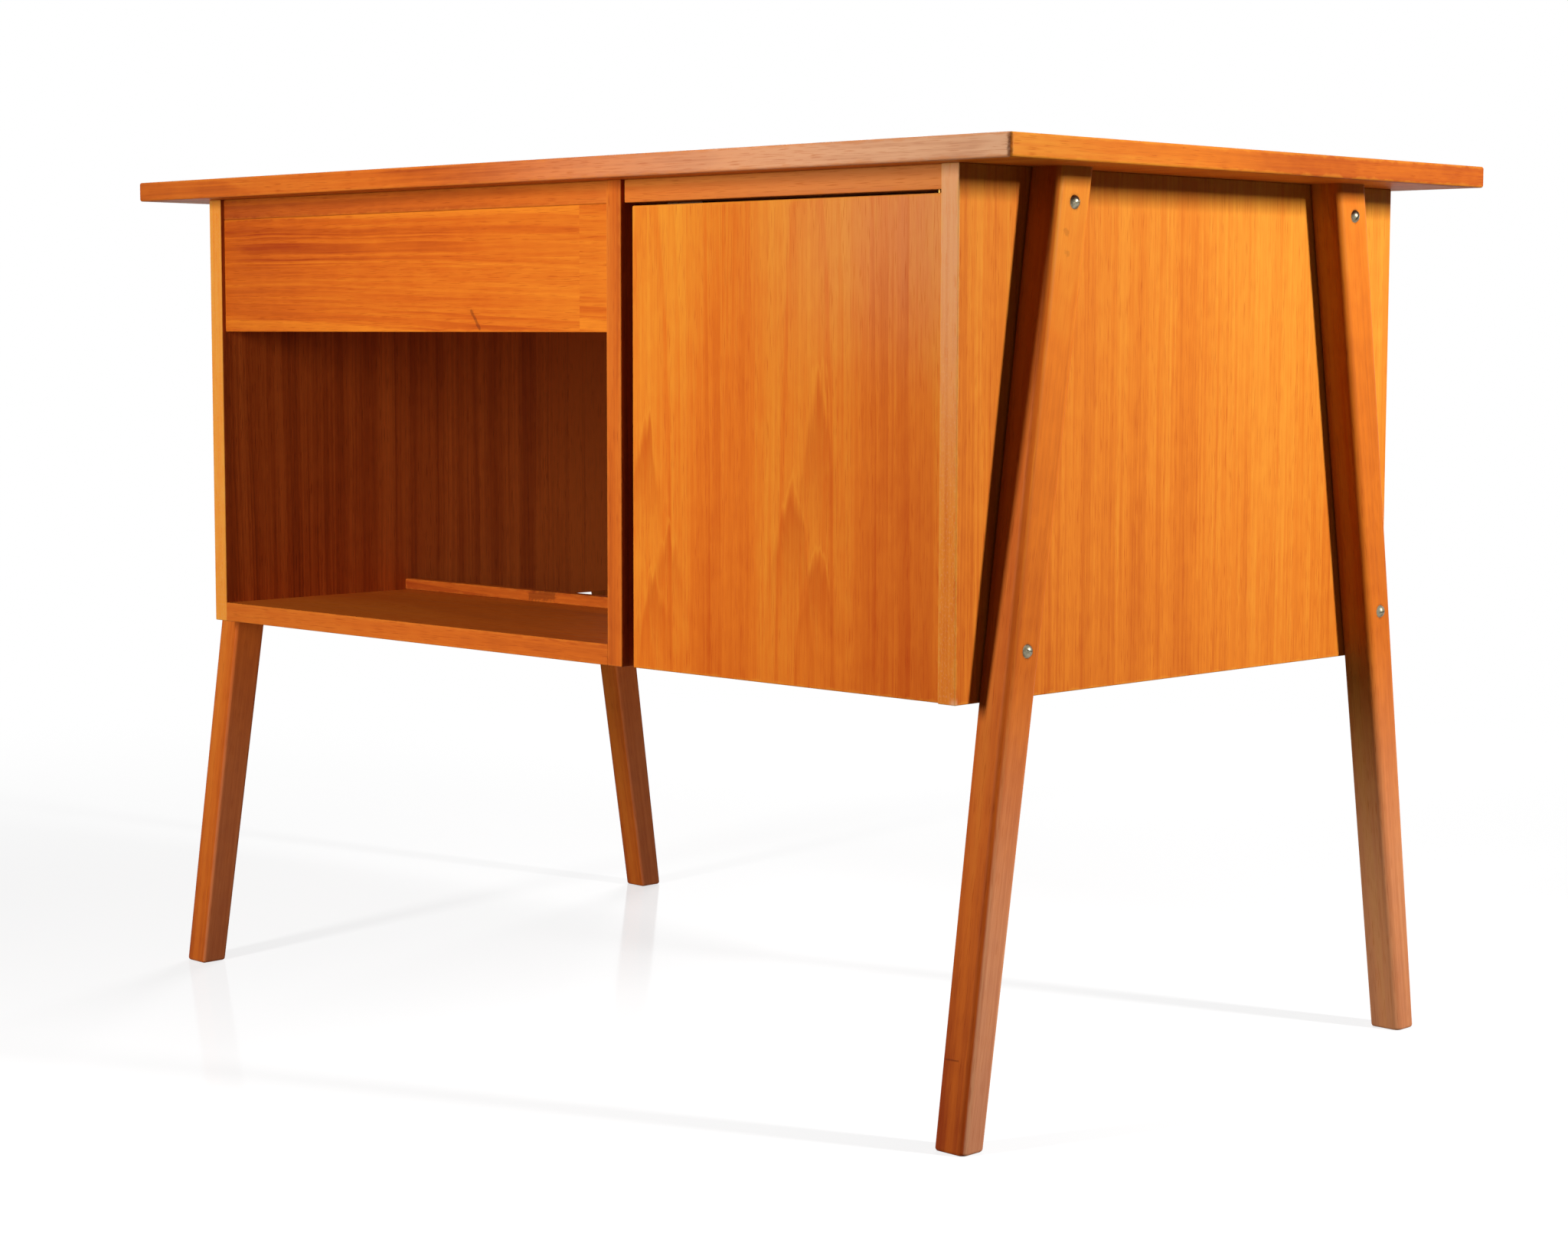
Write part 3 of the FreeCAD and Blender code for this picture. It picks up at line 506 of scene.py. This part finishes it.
def timber_material(name, set_name, turn, centre, figure, box=None, edge=None, joint=None, fade=None,
                    bleaches=(), marks=(), flames=(), bleed=0.4):
    """Timber for one board. bleed is the share of its colour that it throws on its neighbours."""
    timber = bpy.context.scene.desk_timber
    bleached = (*timber.bleached, 1.0)
    material, tree, shader, coordinates = start_material(name)
    axes = dict(zip("XYZ", tree.split(coordinates)))
    place = coordinates
    if joint:
        reached = tree.math("LESS_THAN", axes[joint.axis], joint.place)
        place = tree.vector_math("ADD", coordinates, tree.scaled(joint.move, reached))
    mapping = tree.add("Mapping", {"Vector": place, "Location": -(turn @ Vector(centre)),
                                   "Rotation": turn.to_euler("XYZ")})
    colours = tones(set_name)
    if edge:
        rim_mask = tree.ramp(axes[edge.axis], edge.place, edge.place + edge.side * EDGE_BLEND)
        colours = [tree.mix(rim_mask, board, rim) for board, rim in zip(colours, tones(edge.set_name))]
    pale, mid, dark = colours
    shift = 0.0
    if fade:
        offset = tree.vector_math("SUBTRACT", coordinates, fade.place)
        shift = tree.measure("DOT_PRODUCT", offset, fade.growth)
    if edge and edge.lift:
        shift = tree.math("MULTIPLY_ADD", rim_mask, edge.lift, shift)
    wood = tree.group(timber_figure, Vector=mapping.outputs[0], Pale=pale, Mid=mid, Dark=dark, Shift=shift,
                      Sheen=timber.sheen, **figure.values)
    shade, rough = wood["Color"], wood["Roughness"]
    for flame in flames:
        tip = tree.group(flame_tip, Vector=coordinates, **flame.inputs)
        shade = tree.mix(tree.math("MULTIPLY", tip["Fill"], flame.depth), shade, dark)
        shade = tree.mix(tree.math("MULTIPLY", tip["Rim"], FLAME_RIM), shade, pale)
    # Pale patches, mostly painted sheen and painted reflected light
    for bleach in bleaches:
        shade = tree.mix(bleach.mask(tree, axes, wood["Height"]), shade, bleached)
    if edge and edge.specks:
        specks = tree.ramp(tree.noise(coordinates, EDGE_SPECKS, 2), 0.5, 0.72, 0.0, edge.specks)
        shade = tree.mix(tree.math("MULTIPLY", specks, rim_mask), shade, bleached)
    if box:
        worn = tree.group(arris_wear, Vector=coordinates, Low=box[0], High=box[1],
                          Width=timber.wear_width)["Wear"]
        shade = tree.mix(tree.math("MULTIPLY", worn, WEAR_PALE), shade, pale)
        rough = tree.math("MULTIPLY_ADD", worn, WEAR_ROUGH, rough)
    for mark in marks:
        mask = tree.group(dark_mark, Vector=coordinates, **mark.inputs)["Mark"]
        shade = tree.mix(tree.math("MULTIPLY", mask, mark.depth), shade, (*timber.mark, 1.0))
    bump = tree.add("Bump", {"Height": wood["Height"], **GRAIN_RELIEF})
    bounced = tree.math("MULTIPLY", tree.add("LightPath").outputs["Is Diffuse Ray"], 1.0 - bleed)
    tree.link(tree.mix(bounced, shade, BLACK), shader.inputs["Base Color"])
    tree.link(rough, shader.inputs["Roughness"])
    tree.link(bump.outputs[0], shader.inputs["Normal"])
    shader.inputs["Specular IOR Level"].default_value = TIMBER_GLOSS
    return material


def metal_material(name, bright, dull, tarnish, metallic=1.0):
    """A fitting's finish, bright with dull patches. Plastic is the same with no metal in it."""
    material, tree, shader, coordinates = start_material(name)
    metal = tree.group(handled_metal, Vector=coordinates, Bright=(*bright, 1.0), Dull=(*dull, 1.0),
                       Tarnish=tarnish)
    bump = tree.add("Bump", {"Height": metal["Height"], **METAL_RELIEF})
    tree.link(metal["Color"], shader.inputs["Base Color"])
    tree.link(metal["Roughness"], shader.inputs["Roughness"])
    tree.link(bump.outputs[0], shader.inputs["Normal"])
    shader.inputs["Metallic"].default_value = metallic
    return material


def finish(node, material):
    """Gives a node one material all over."""
    for slot in NODES[node].material_slots:
        slot.material = material


def dress_board(node, set_name, cut, figure, shift=(0.0, 0.0, 0.0), **more):
    """Gives one square board its timber.

    cut names the across, through and along axes, and shift moves the log's heart from the board's middle.
    """
    low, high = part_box(node)
    centre = (low + high) / 2 + Vector(shift)
    finish(node, timber_material(node + " timber", set_name, cut_turn(*cut), centre, figure, (low, high),
                                 **more))


# Operators

class DeskOperator:
    """What the desk's operators share"""
    bl_options = {"REGISTER", "UNDO"}


class DESK_OT_top(DeskOperator, bpy.types.Operator):
    """Finish the desktop: a long-grained board and its mitred lippings"""
    bl_idname = "desk.top"
    bl_label = "Desktop"

    def execute(self, context):
        board = Figure(depth=0.07, slope=0.04, ring=0.007, waver=0.012)
        dress_board("tabletop_board", "veneer", "YZX", board, shift=(0.1, 0.05, 0.0))
        # A dark line runs down the mitre at the visitor's right-hand corner, and painted sheen pales the long
        # edges towards their right-hand end
        low, high = CAD_BOX
        mitre = Mark((high.x, low.y, high.z), (0.0, 0.0, -0.02), width=0.0034, rag=0.35, depth=0.85)
        lipping = Figure(depth=0.2, slope=0.01, ring=0.005, waver=0.004, bands=0.3, rings=0.4, fibre=0.45,
                         tone=0.4)
        for node in ("tabletop_lipping_visitor", "tabletop_lipping_user"):
            dress_board(node, "solid", "ZYX", lipping, marks=[mitre],
                        bleaches=[PalePatch(0.82, ("X", -0.15, 0.55))])
        end_lipping = Figure(depth=0.2, slope=0.02, ring=0.005, waver=0.005, tone=0.4)
        for node in ("tabletop_lipping_left", "tabletop_lipping_right"):
            dress_board(node, "leg", "ZXY", end_lipping, marks=[mitre],
                        fade=Fade(place=(0.0, -0.1, 0.7), growth=(0.0, -1.0, 0.0)))
        return {"FINISHED"}


class DESK_OT_carcass(DeskOperator, bpy.types.Operator):
    """Finish the side panels, the divider, the rails and the boards of the pedestal"""
    bl_idname = "desk.carcass"
    bl_label = "Carcass"

    def execute(self, context):
        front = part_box("side_panel_right")[0].y
        skin = front + EDGE_SKIN
        straight = Figure(depth=0.5, ring=0.006, waver=0.0018, bands=0.14, rings=0.15, fibre=0.32, tone=0.14)
        # Painted sheen pales the front edge towards its top, and the outer corner at its foot is paler
        top_sheen = PalePatch(0.52, ("Y", skin, front + 0.0004), ("Z", 0.42, 0.72))
        foot_pale = PalePatch(0.6, ("Y", front + 0.004, front), ("Z", 0.326, 0.32), ("X", 0.447, 0.452))
        # Painted light: the panel pales towards the back and the top, as the end lamp falls on it
        dress_board("side_panel_right", "veneer", "YXZ", straight, shift=(0.0, 0.4, 0.0),
                    edge=Edge("Y", skin, -1, "edge", specks=0.2), bleaches=[top_sheen, foot_pale],
                    fade=Fade(place=(0.45, 0.0, 0.5), growth=(0.0, 0.4, 0.6)))
        striped = Figure(depth=0.35, slope=0.004, ring=0.005, waver=0.003, bands=0.4, rings=0.28, fibre=0.3,
                         tone=0.35)
        # Painted light: the inside of the open shelf pales towards the back, where light comes in through the
        # knee hole
        dress_board("side_panel_left", "striped", "YXZ", striped, shift=(0.0, 0.5, 0.0),
                    edge=Edge("Y", skin, -1, "edge", specks=0.2, lift=0.3), bleed=1.0,
                    fade=Fade(place=(-0.44, -0.25, 0.5), growth=(0.0, 1.0, 0.0)))
        dress_board("divider", "striped", "YXZ", striped, shift=(0.0, 0.45, 0.1),
                    edge=Edge("Y", skin, -1, "solid"), bleed=1.0)
        rail = Figure(depth=0.25, slope=0.01, ring=0.006, waver=0.004)
        # The rails pale towards the right-hand end, where the pale patch is painted sheen
        for node in ("rail_visitor_left", "rail_visitor_right", "rail_user_left", "rail_user_right"):
            dress_board(node, "solid", "YZX", rail, bleaches=[PalePatch(0.12, ("X", 0.0, 0.4))],
                        fade=Fade(place=(0.0, 0.0, 0.69), growth=(1.0, 0.0, 0.0)))
        bottom = Figure(depth=0.2, slope=0.02, ring=0.007, waver=0.008)
        dress_board("pedestal_bottom", "veneer", "YZX", bottom)
        partition = Figure(depth=0.12, slope=0.05, ring=0.007, waver=0.008)
        dress_board("pedestal_partition", "veneer", "XYZ", partition, bleed=1.0)
        dress_board("carcass_dowels", "beech", "YZX", Figure())
        return {"FINISHED"}


class DESK_OT_open_shelf(DeskOperator, bpy.types.Operator):
    """Finish the apron, the open shelf and its book stop"""
    bl_idname = "desk.open_shelf"
    bl_label = "Apron and open shelf"

    def execute(self, context):
        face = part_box("apron")[0].y
        crack = Mark((-0.086, face, 0.601), (0.010, 0.0, -0.014), width=0.0022, rag=0.6, depth=0.5)
        sweeping = Figure(depth=0.05, slope=0.1, ring=0.0055, waver=0.009, bands=0.34, rings=0.4, fibre=0.3,
                          tone=0.4)
        dress_board("apron", "apron", "ZYX", sweeping, shift=(0.0, 0.0, -0.16), marks=[crack],
                    joint=Joint("X", place=0.049, move=(0.0, 0.0, 0.02)),
                    fade=Fade(place=(-0.3, 0.0, 0.63), growth=(0.9, 0.0, -1.5)))
        edge = Edge("Y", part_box("bookshelf_board")[0].y + EDGE_SKIN, -1, "solid")
        shelf = Figure(depth=0.2, slope=0.01, ring=0.007, waver=0.008)
        dress_board("bookshelf_board", "solid", "YZX", shelf, edge=edge, bleed=0.6)
        low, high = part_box("book_stop")
        knot = Mark((-0.25, low.y, (low.z + high.z) / 2), (0.03, 0.0, 0.002), width=0.006, rag=0.7, depth=0.5)
        stop = Figure(depth=0.15, slope=0.05, ring=0.006, waver=0.006, tone=0.6)
        dress_board("book_stop", "solid", "YZX", stop, marks=[knot],
                    fade=Fade(place=(0.15, 0.0, 0.0), growth=(0.9, 0.0, 0.0)))
        return {"FINISHED"}


class DESK_OT_door(DeskOperator, bpy.types.Operator):
    """Finish the door, whose two leaves of veneer show tall arches"""
    bl_idname = "desk.door"
    bl_label = "Door"

    HEART = 0.302  # x of the middle of the arches on the right-hand leaf
    # x and z of each flame's tip, then its half width, length and depth of colour
    FLAMES = (
        (0.315, 0.560, 0.034, 0.16, 0.45),
        (0.286, 0.477, 0.032, 0.12, 0.55),
        (0.316, 0.422, 0.034, 0.08, 0.5),
        (0.127, 0.528, 0.028, 0.12, 0.55),
        (0.154, 0.434, 0.030, 0.08, 0.4),
        (0.135, 0.402, 0.030, 0.08, 0.5),
    )

    def execute(self, context):
        low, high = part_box("door_panel")
        arches = Figure(depth=0.0275, slope=0.055, ring=0.009, waver=0.0035, bands=0.34, rings=0.2,
                        fibre=0.22, tone=0.38)
        flames = [Flame((x, low.y, z), *sizes) for x, z, *sizes in self.FLAMES]
        # Painted light: the door pales towards its top and its left, nearer the front lamp, and its top right
        # carries a painted sheen
        dress_board("door_panel", "door", "XYZ", arches, shift=(self.HEART - (low.x + high.x) / 2, 0.0, 0.0),
                    joint=Joint("X", place=0.212, move=(0.174, 0.0, 0.03)), flames=flames,
                    fade=Fade(place=(0.3, 0.0, 0.52), growth=(-0.3, 0.0, 1.1)),
                    bleaches=[PalePatch(0.2, ("X", 0.2, 0.45), ("Z", 0.52, 0.68))])
        return {"FINISHED"}


class DESK_OT_legs(DeskOperator, bpy.types.Operator):
    """Finish the four splayed legs and their dome-headed screws"""
    bl_idname = "desk.legs"
    bl_label = "Legs and screws"

    LEAN = math.atan2(0.1048, 0.703)  # a leg's run over its rise
    # Distance of each leg's two screws from the desk's long middle line, and their heights
    SCREWS = ((0.1764, 0.6775), (0.2241, 0.3575))
    # Each leg's tones, how much it pales per metre of height as painted light falloff, and how far it is
    # paled towards the floor by painted reflection of the white floor and painted bounce light
    LOOKS = {
        "leg_visitor_left": ("solid", 0.4, 0.15),
        "leg_visitor_right": ("solid", 1.0, 0.44),
        "leg_user_left": ("solid", 0.4, 0.15),
        # This leg's paler tones and its paling all round are painted light on its shaded face
        "leg_user_right": ("leg", 0.5, 0.38),
    }

    def dress_leg(self, node, side):
        """Gives one leg its timber. side is -1 for the visitor's side and 1 for the user's."""
        low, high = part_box(node)
        set_name, growth, depth = self.LOOKS[node]
        turn = cut_turn("Y", "X", "Z") @ Matrix.Rotation(-side * self.LEAN, 3, "X")
        figure = Figure(depth=0.3, slope=0.01, ring=0.006, waver=0.005, bands=0.3, rings=0.2, tone=0.45)
        thick = Vector((high.x - low.x, 0.0, 0.0))
        marks = [Mark((low.x, side * y, z), thick, width=0.0075, rag=0.15, depth=0.75)
                 for y, z in self.SCREWS]
        outer_face = None
        if node == "leg_visitor_right":
            # Painted light: the outer face, lit by the end lamp, takes paler tones than the shaded rest, with
            # two smudges under the upper screw and a low scratch
            outer_face = Edge("X", high.x - 0.0014, 1, "leg")
            smear = (0.0, 0.002, -0.001)
            marks += [Mark((high.x, -0.1865, 0.6565), smear, width=0.0032, rag=0.7, depth=0.22),
                      Mark((high.x, -0.1856, 0.6417), smear, width=0.0028, rag=0.7, depth=0.18),
                      Mark((low.x + 0.003, -0.281, 0.066), (0.012, 0.0, 0.0005), width=0.0009, rag=0.3,
                           depth=0.5)]
        spans = [("Z", 0.36, 0.12)]
        if node != "leg_user_right":
            # Painted reflection of the white floor and painted bounce light pale only the face to the right;
            # leg_user_right is paled all round
            spans.append(("X", high.x - 0.0022, high.x - 0.0006))
        finish(node, timber_material(node + " timber", set_name, turn, (low + high) / 2, figure, marks=marks,
                                     edge=outer_face, bleaches=[PalePatch(depth, *spans)],
                                     fade=Fade(place=(0.0, 0.0, 0.44), growth=(0.0, 0.0, growth))))

    def execute(self, context):
        for row, side in (("visitor", -1), ("user", 1)):
            for end in ("left", "right"):
                self.dress_leg("leg_" + row + "_" + end, side)
        metal = context.scene.desk_metal
        steel = metal_material("nickelled steel", metal.steel, metal.steel_tarnish, tarnish=0.7)
        for node in ("leg_screws", "tabletop_screws", "door_strike"):
            finish(node, steel)
        return {"FINISHED"}


class DESK_OT_drawers(DeskOperator, bpy.types.Operator):
    """Finish the drawer fronts, their beech boxes, plywood bottoms and runners"""
    bl_idname = "desk.drawers"
    bl_label = "Drawers"

    def execute(self, context):
        front = Figure(depth=0.07, slope=0.03, ring=0.006, waver=0.008)
        box = Figure(depth=0.2, slope=0.01, ring=0.004, waver=0.003, bands=0.2, rings=0.2, fibre=0.3,
                     tone=0.2)
        bottom = Figure(depth=0.08, slope=0.05, ring=0.008, waver=0.01)
        for number, drawer in enumerate(("lower", "middle", "upper", "wide")):
            # Each drawer is cut from another part of the log
            shift = (0.03 * number, 0.0, 0.13 * number)
            dress_board(drawer + "_drawer_front", "veneer", "ZYX", front, shift)
            for side in ("left", "right"):
                dress_board(drawer + "_drawer_side_" + side, "beech", "ZXY", box, shift)
            dress_board(drawer + "_drawer_back", "beech", "ZYX", box, shift)
            dress_board(drawer + "_drawer_bottom", "plywood", "YZX", bottom, shift)
        for node in ("wide_drawer_runners", "pedestal_runners"):
            dress_board(node, "beech", "ZXY", box)
        return {"FINISHED"}


class DESK_OT_cupboard(DeskOperator, bpy.types.Operator):
    """Finish the cupboard's shelf, pegs, knife hinges and catch"""
    bl_idname = "desk.cupboard"
    bl_label = "Cupboard fittings"

    def execute(self, context):
        metal = context.scene.desk_metal
        shelf = Figure(depth=0.2, slope=0.01, ring=0.007, waver=0.008)
        dress_board("cupboard_shelf", "veneer", "YZX", shelf)
        brass = metal_material("brass", metal.brass, metal.brass_tarnish, tarnish=0.5)
        for node in ("hinge_carcass_leaves", "hinge_door_leaves", "hinge_washer", "hinge_door_screws",
                     "cupboard_hardware_screws", "door_strike_screw", "shelf_pegs"):
            finish(node, brass)
        finish("door_catch", metal_material("catch plastic", metal.plastic, metal.plastic_scuff, tarnish=0.5,
                                            metallic=0.0))
        return {"FINISHED"}


class DESK_OT_stage(DeskOperator, bpy.types.Operator):
    """Set the desk on a pale floor with lamps, a soft surround and a camera"""
    bl_idname = "desk.stage"
    bl_label = "Studio"

    FLOOR_GLOW = 0.78  # what the floor near the desk shows of itself
    FLOOR_SHADE = (0.36, 0.36, 0.36, 1.0)  # colour by which it shows the light on it, and so the shadows
    FLOOR_POLISH = 0.1  # roughness of its faint reflections
    SHADOWS_END = (0.8, 2.2)  # distances from its middle over which it becomes plain white
    SENSOR_WIDTH = 36.0
    CAMERA_PLACE = (1.8608, -1.8680, 0.5830)
    # Turns of the camera in radians: round from the desk's front, down from level, and its tilt
    CAMERA_HEADING, CAMERA_DIP, CAMERA_ROLL = 0.7791, 0.0958, 0.0021

    def floor(self, stage):
        """A flat floor. Seen, it glows white; for the light that it throws back, it is matt and grey."""
        mesh = bmesh.new()
        bmesh.ops.create_grid(mesh, x_segments=1, y_segments=1, size=stage.floor_size / 2)
        data = bpy.data.meshes.new("studio_floor")
        mesh.to_mesh(data)
        mesh.free()
        floor = bpy.data.objects.new("studio_floor", data)
        bpy.context.scene.collection.objects.link(floor)
        material = bpy.data.materials.new("studio floor")
        material.use_nodes = True
        nodes = material.node_tree.nodes
        nodes.remove(nodes["Principled BSDF"])
        tree = Tree(material.node_tree)
        matt = tree.add("BsdfDiffuse", {"Color": (*stage.floor, 1.0)}).outputs[0]
        # Near the desk it is white with the shadows left in it, and far off it is plain white
        glow = tree.add("Emission", {"Color": WHITE, "Strength": 1.0}).outputs[0]
        shadowed = tree.add("Emission", {"Color": WHITE, "Strength": self.FLOOR_GLOW}).outputs[0]
        shaded = tree.add("BsdfDiffuse", {"Color": self.FLOOR_SHADE}).outputs[0]
        near = tree.add("AddShader", {0: shadowed, 1: shaded}).outputs[0]
        polish = tree.add("BsdfGlossy", {"Color": WHITE, "Roughness": self.FLOOR_POLISH}).outputs[0]
        place = tree.add("TexCoord").outputs["Object"]
        x, y, _ = tree.split(place)
        # It is polished under the left-hand half of the desk, most towards the user, and dull elsewhere
        polished = tree.math("MULTIPLY", tree.fall(x, -0.4, 0.3), tree.ramp(y, -0.3, 0.35, 0.06, 0.2))
        polished = tree.math("MULTIPLY", polished, tree.fall(y, 0.35, 0.6))
        near = tree.add("MixShader", {0: polished, 1: near, 2: polish}).outputs[0]
        far = tree.ramp(tree.measure("LENGTH", place), *self.SHADOWS_END)
        seen = tree.add("MixShader", {0: far, 1: near, 2: glow}).outputs[0]
        both = tree.add("MixShader", {0: tree.looked_at(), 1: matt, 2: seen}).outputs[0]
        tree.link(both, nodes["Material Output"].inputs["Surface"])
        data.materials.append(material)

    def lamp(self, name, watts, size, place, aim, spread=math.pi, pieces=(), rule="EXCLUDE"):
        """A soft box, its width and height in size. pieces names those that it leaves out or is kept to."""
        light = bpy.data.lights.new(name, "AREA")
        light.energy = watts
        light.shape = "RECTANGLE"
        light.size, light.size_y = size
        light.spread = spread
        lamp = bpy.data.objects.new(name, light)
        lamp.location = place
        lamp.rotation_euler = (Vector(aim) - Vector(place)).to_track_quat("-Z", "Y").to_euler()
        bpy.context.scene.collection.objects.link(lamp)
        if pieces:
            named = bpy.data.collections.new(name + "_pieces")
            for node in pieces:
                named.objects.link(NODES[node])
            lamp.light_linking.receiver_collection = named
            for item in named.collection_objects:
                item.light_linking.link_state = rule

    def surround(self, scene, stage):
        """Soft light from all round. Seen, the surround is white."""
        world = bpy.data.worlds.new("studio surround")
        world.use_nodes = True
        tree = Tree(world.node_tree)
        nodes = world.node_tree.nodes
        soft = nodes["Background"]
        tree.link((*stage.surround, 1.0), soft.inputs["Color"])
        tree.link(stage.surround_level, soft.inputs["Strength"])
        white = tree.add("Background", {"Color": WHITE, "Strength": 1.0}).outputs[0]
        both = tree.add("MixShader", {0: tree.looked_at(), 1: soft.outputs[0], 2: white}).outputs[0]
        tree.link(both, nodes["World Output"].inputs["Surface"])
        scene.world = world

    def camera(self, scene, stage):
        """The camera at the visitor's right-hand corner."""
        data = bpy.data.cameras.new("camera")
        data.sensor_fit = "HORIZONTAL"
        data.sensor_width = self.SENSOR_WIDTH
        data.lens = stage.lens
        camera = bpy.data.objects.new("camera", data)
        turn = Matrix.Rotation(self.CAMERA_HEADING, 3, "Z")
        turn = turn @ Matrix.Rotation(math.pi / 2 - self.CAMERA_DIP, 3, "X")
        turn = turn @ Matrix.Rotation(self.CAMERA_ROLL, 3, "Z")
        camera.location = self.CAMERA_PLACE
        camera.rotation_euler = turn.to_euler()
        scene.collection.objects.link(camera)
        scene.camera = camera

    def execute(self, context):
        scene = context.scene
        stage = scene.desk_stage
        left_legs = ("leg_visitor_left", "leg_user_left")
        faces_up = [node for node in NODES if node.startswith("tabletop") or "_drawer_" in node]
        self.floor(stage)
        self.lamp("end_light", stage.end_power, size=(0.16, 0.38), place=(2.2, 0.62, 1.15),
                  aim=(0.47, 0.0, 0.42), spread=math.radians(140), pieces=("side_panel_left", *left_legs))
        self.lamp("front_light", stage.front_power, size=(0.2, 0.9), place=(-0.17, -1.88, 0.82),
                  aim=(0.0, -0.27, 0.5), spread=math.radians(110))
        self.lamp("back_light", stage.back_power, size=(1.2, 1.2), place=(-1.9, 2.7, 1.5),
                  aim=(0.0, 0.27, 0.5), pieces=("bookshelf_board", "book_stop"))
        self.lamp("fill_light", stage.fill_power, size=(0.4, 0.4), place=(3.0, -0.6, 0.25),
                  aim=(-0.45, 0.0, 0.2), pieces=left_legs, rule="INCLUDE")
        self.lamp("top_light", stage.top_power, size=(1.2, 0.8), place=(0.0, 0.0, 2.3),
                  aim=(0.0, 0.0, 0.72), pieces=faces_up, rule="INCLUDE")
        self.surround(scene, stage)
        self.camera(scene, stage)
        scene.view_settings.view_transform = "Standard"
        return {"FINISHED"}


MAKERS = (DESK_OT_top, DESK_OT_carcass, DESK_OT_open_shelf, DESK_OT_door, DESK_OT_legs, DESK_OT_drawers,
          DESK_OT_cupboard, DESK_OT_stage)


class DESK_PT_panel(bpy.types.Panel):
    """Lists the desk's settings and the steps that finish it"""
    bl_idname = "DESK_PT_panel"
    bl_label = "Desk"
    bl_space_type = "VIEW_3D"
    bl_region_type = "UI"
    bl_category = "Desk"

    def draw(self, context):
        column = self.layout.column()
        for maker in MAKERS:
            column.operator(maker.bl_idname)
        for group in (context.scene.desk_timber, context.scene.desk_metal, context.scene.desk_stage):
            for name in group.bl_rna.properties.keys():
                if name not in ("rna_type", "name"):
                    column.prop(group, name)


CLASSES = (DeskTimber, DeskMetal, DeskStage, *MAKERS, DESK_PT_panel)


def register():
    for item in CLASSES:
        bpy.utils.register_class(item)
    bpy.types.Scene.desk_timber = PointerProperty(type=DeskTimber)
    bpy.types.Scene.desk_metal = PointerProperty(type=DeskMetal)
    bpy.types.Scene.desk_stage = PointerProperty(type=DeskStage)


def unregister():
    del bpy.types.Scene.desk_stage
    del bpy.types.Scene.desk_metal
    del bpy.types.Scene.desk_timber
    for item in reversed(CLASSES):
        bpy.utils.unregister_class(item)


def main():
    register()
    bpy.ops.desk.top()
    bpy.ops.desk.carcass()
    bpy.ops.desk.open_shelf()
    bpy.ops.desk.door()
    bpy.ops.desk.legs()
    bpy.ops.desk.drawers()
    bpy.ops.desk.cupboard()
    bpy.ops.desk.stage()


if __name__ == "__main__":
    main()
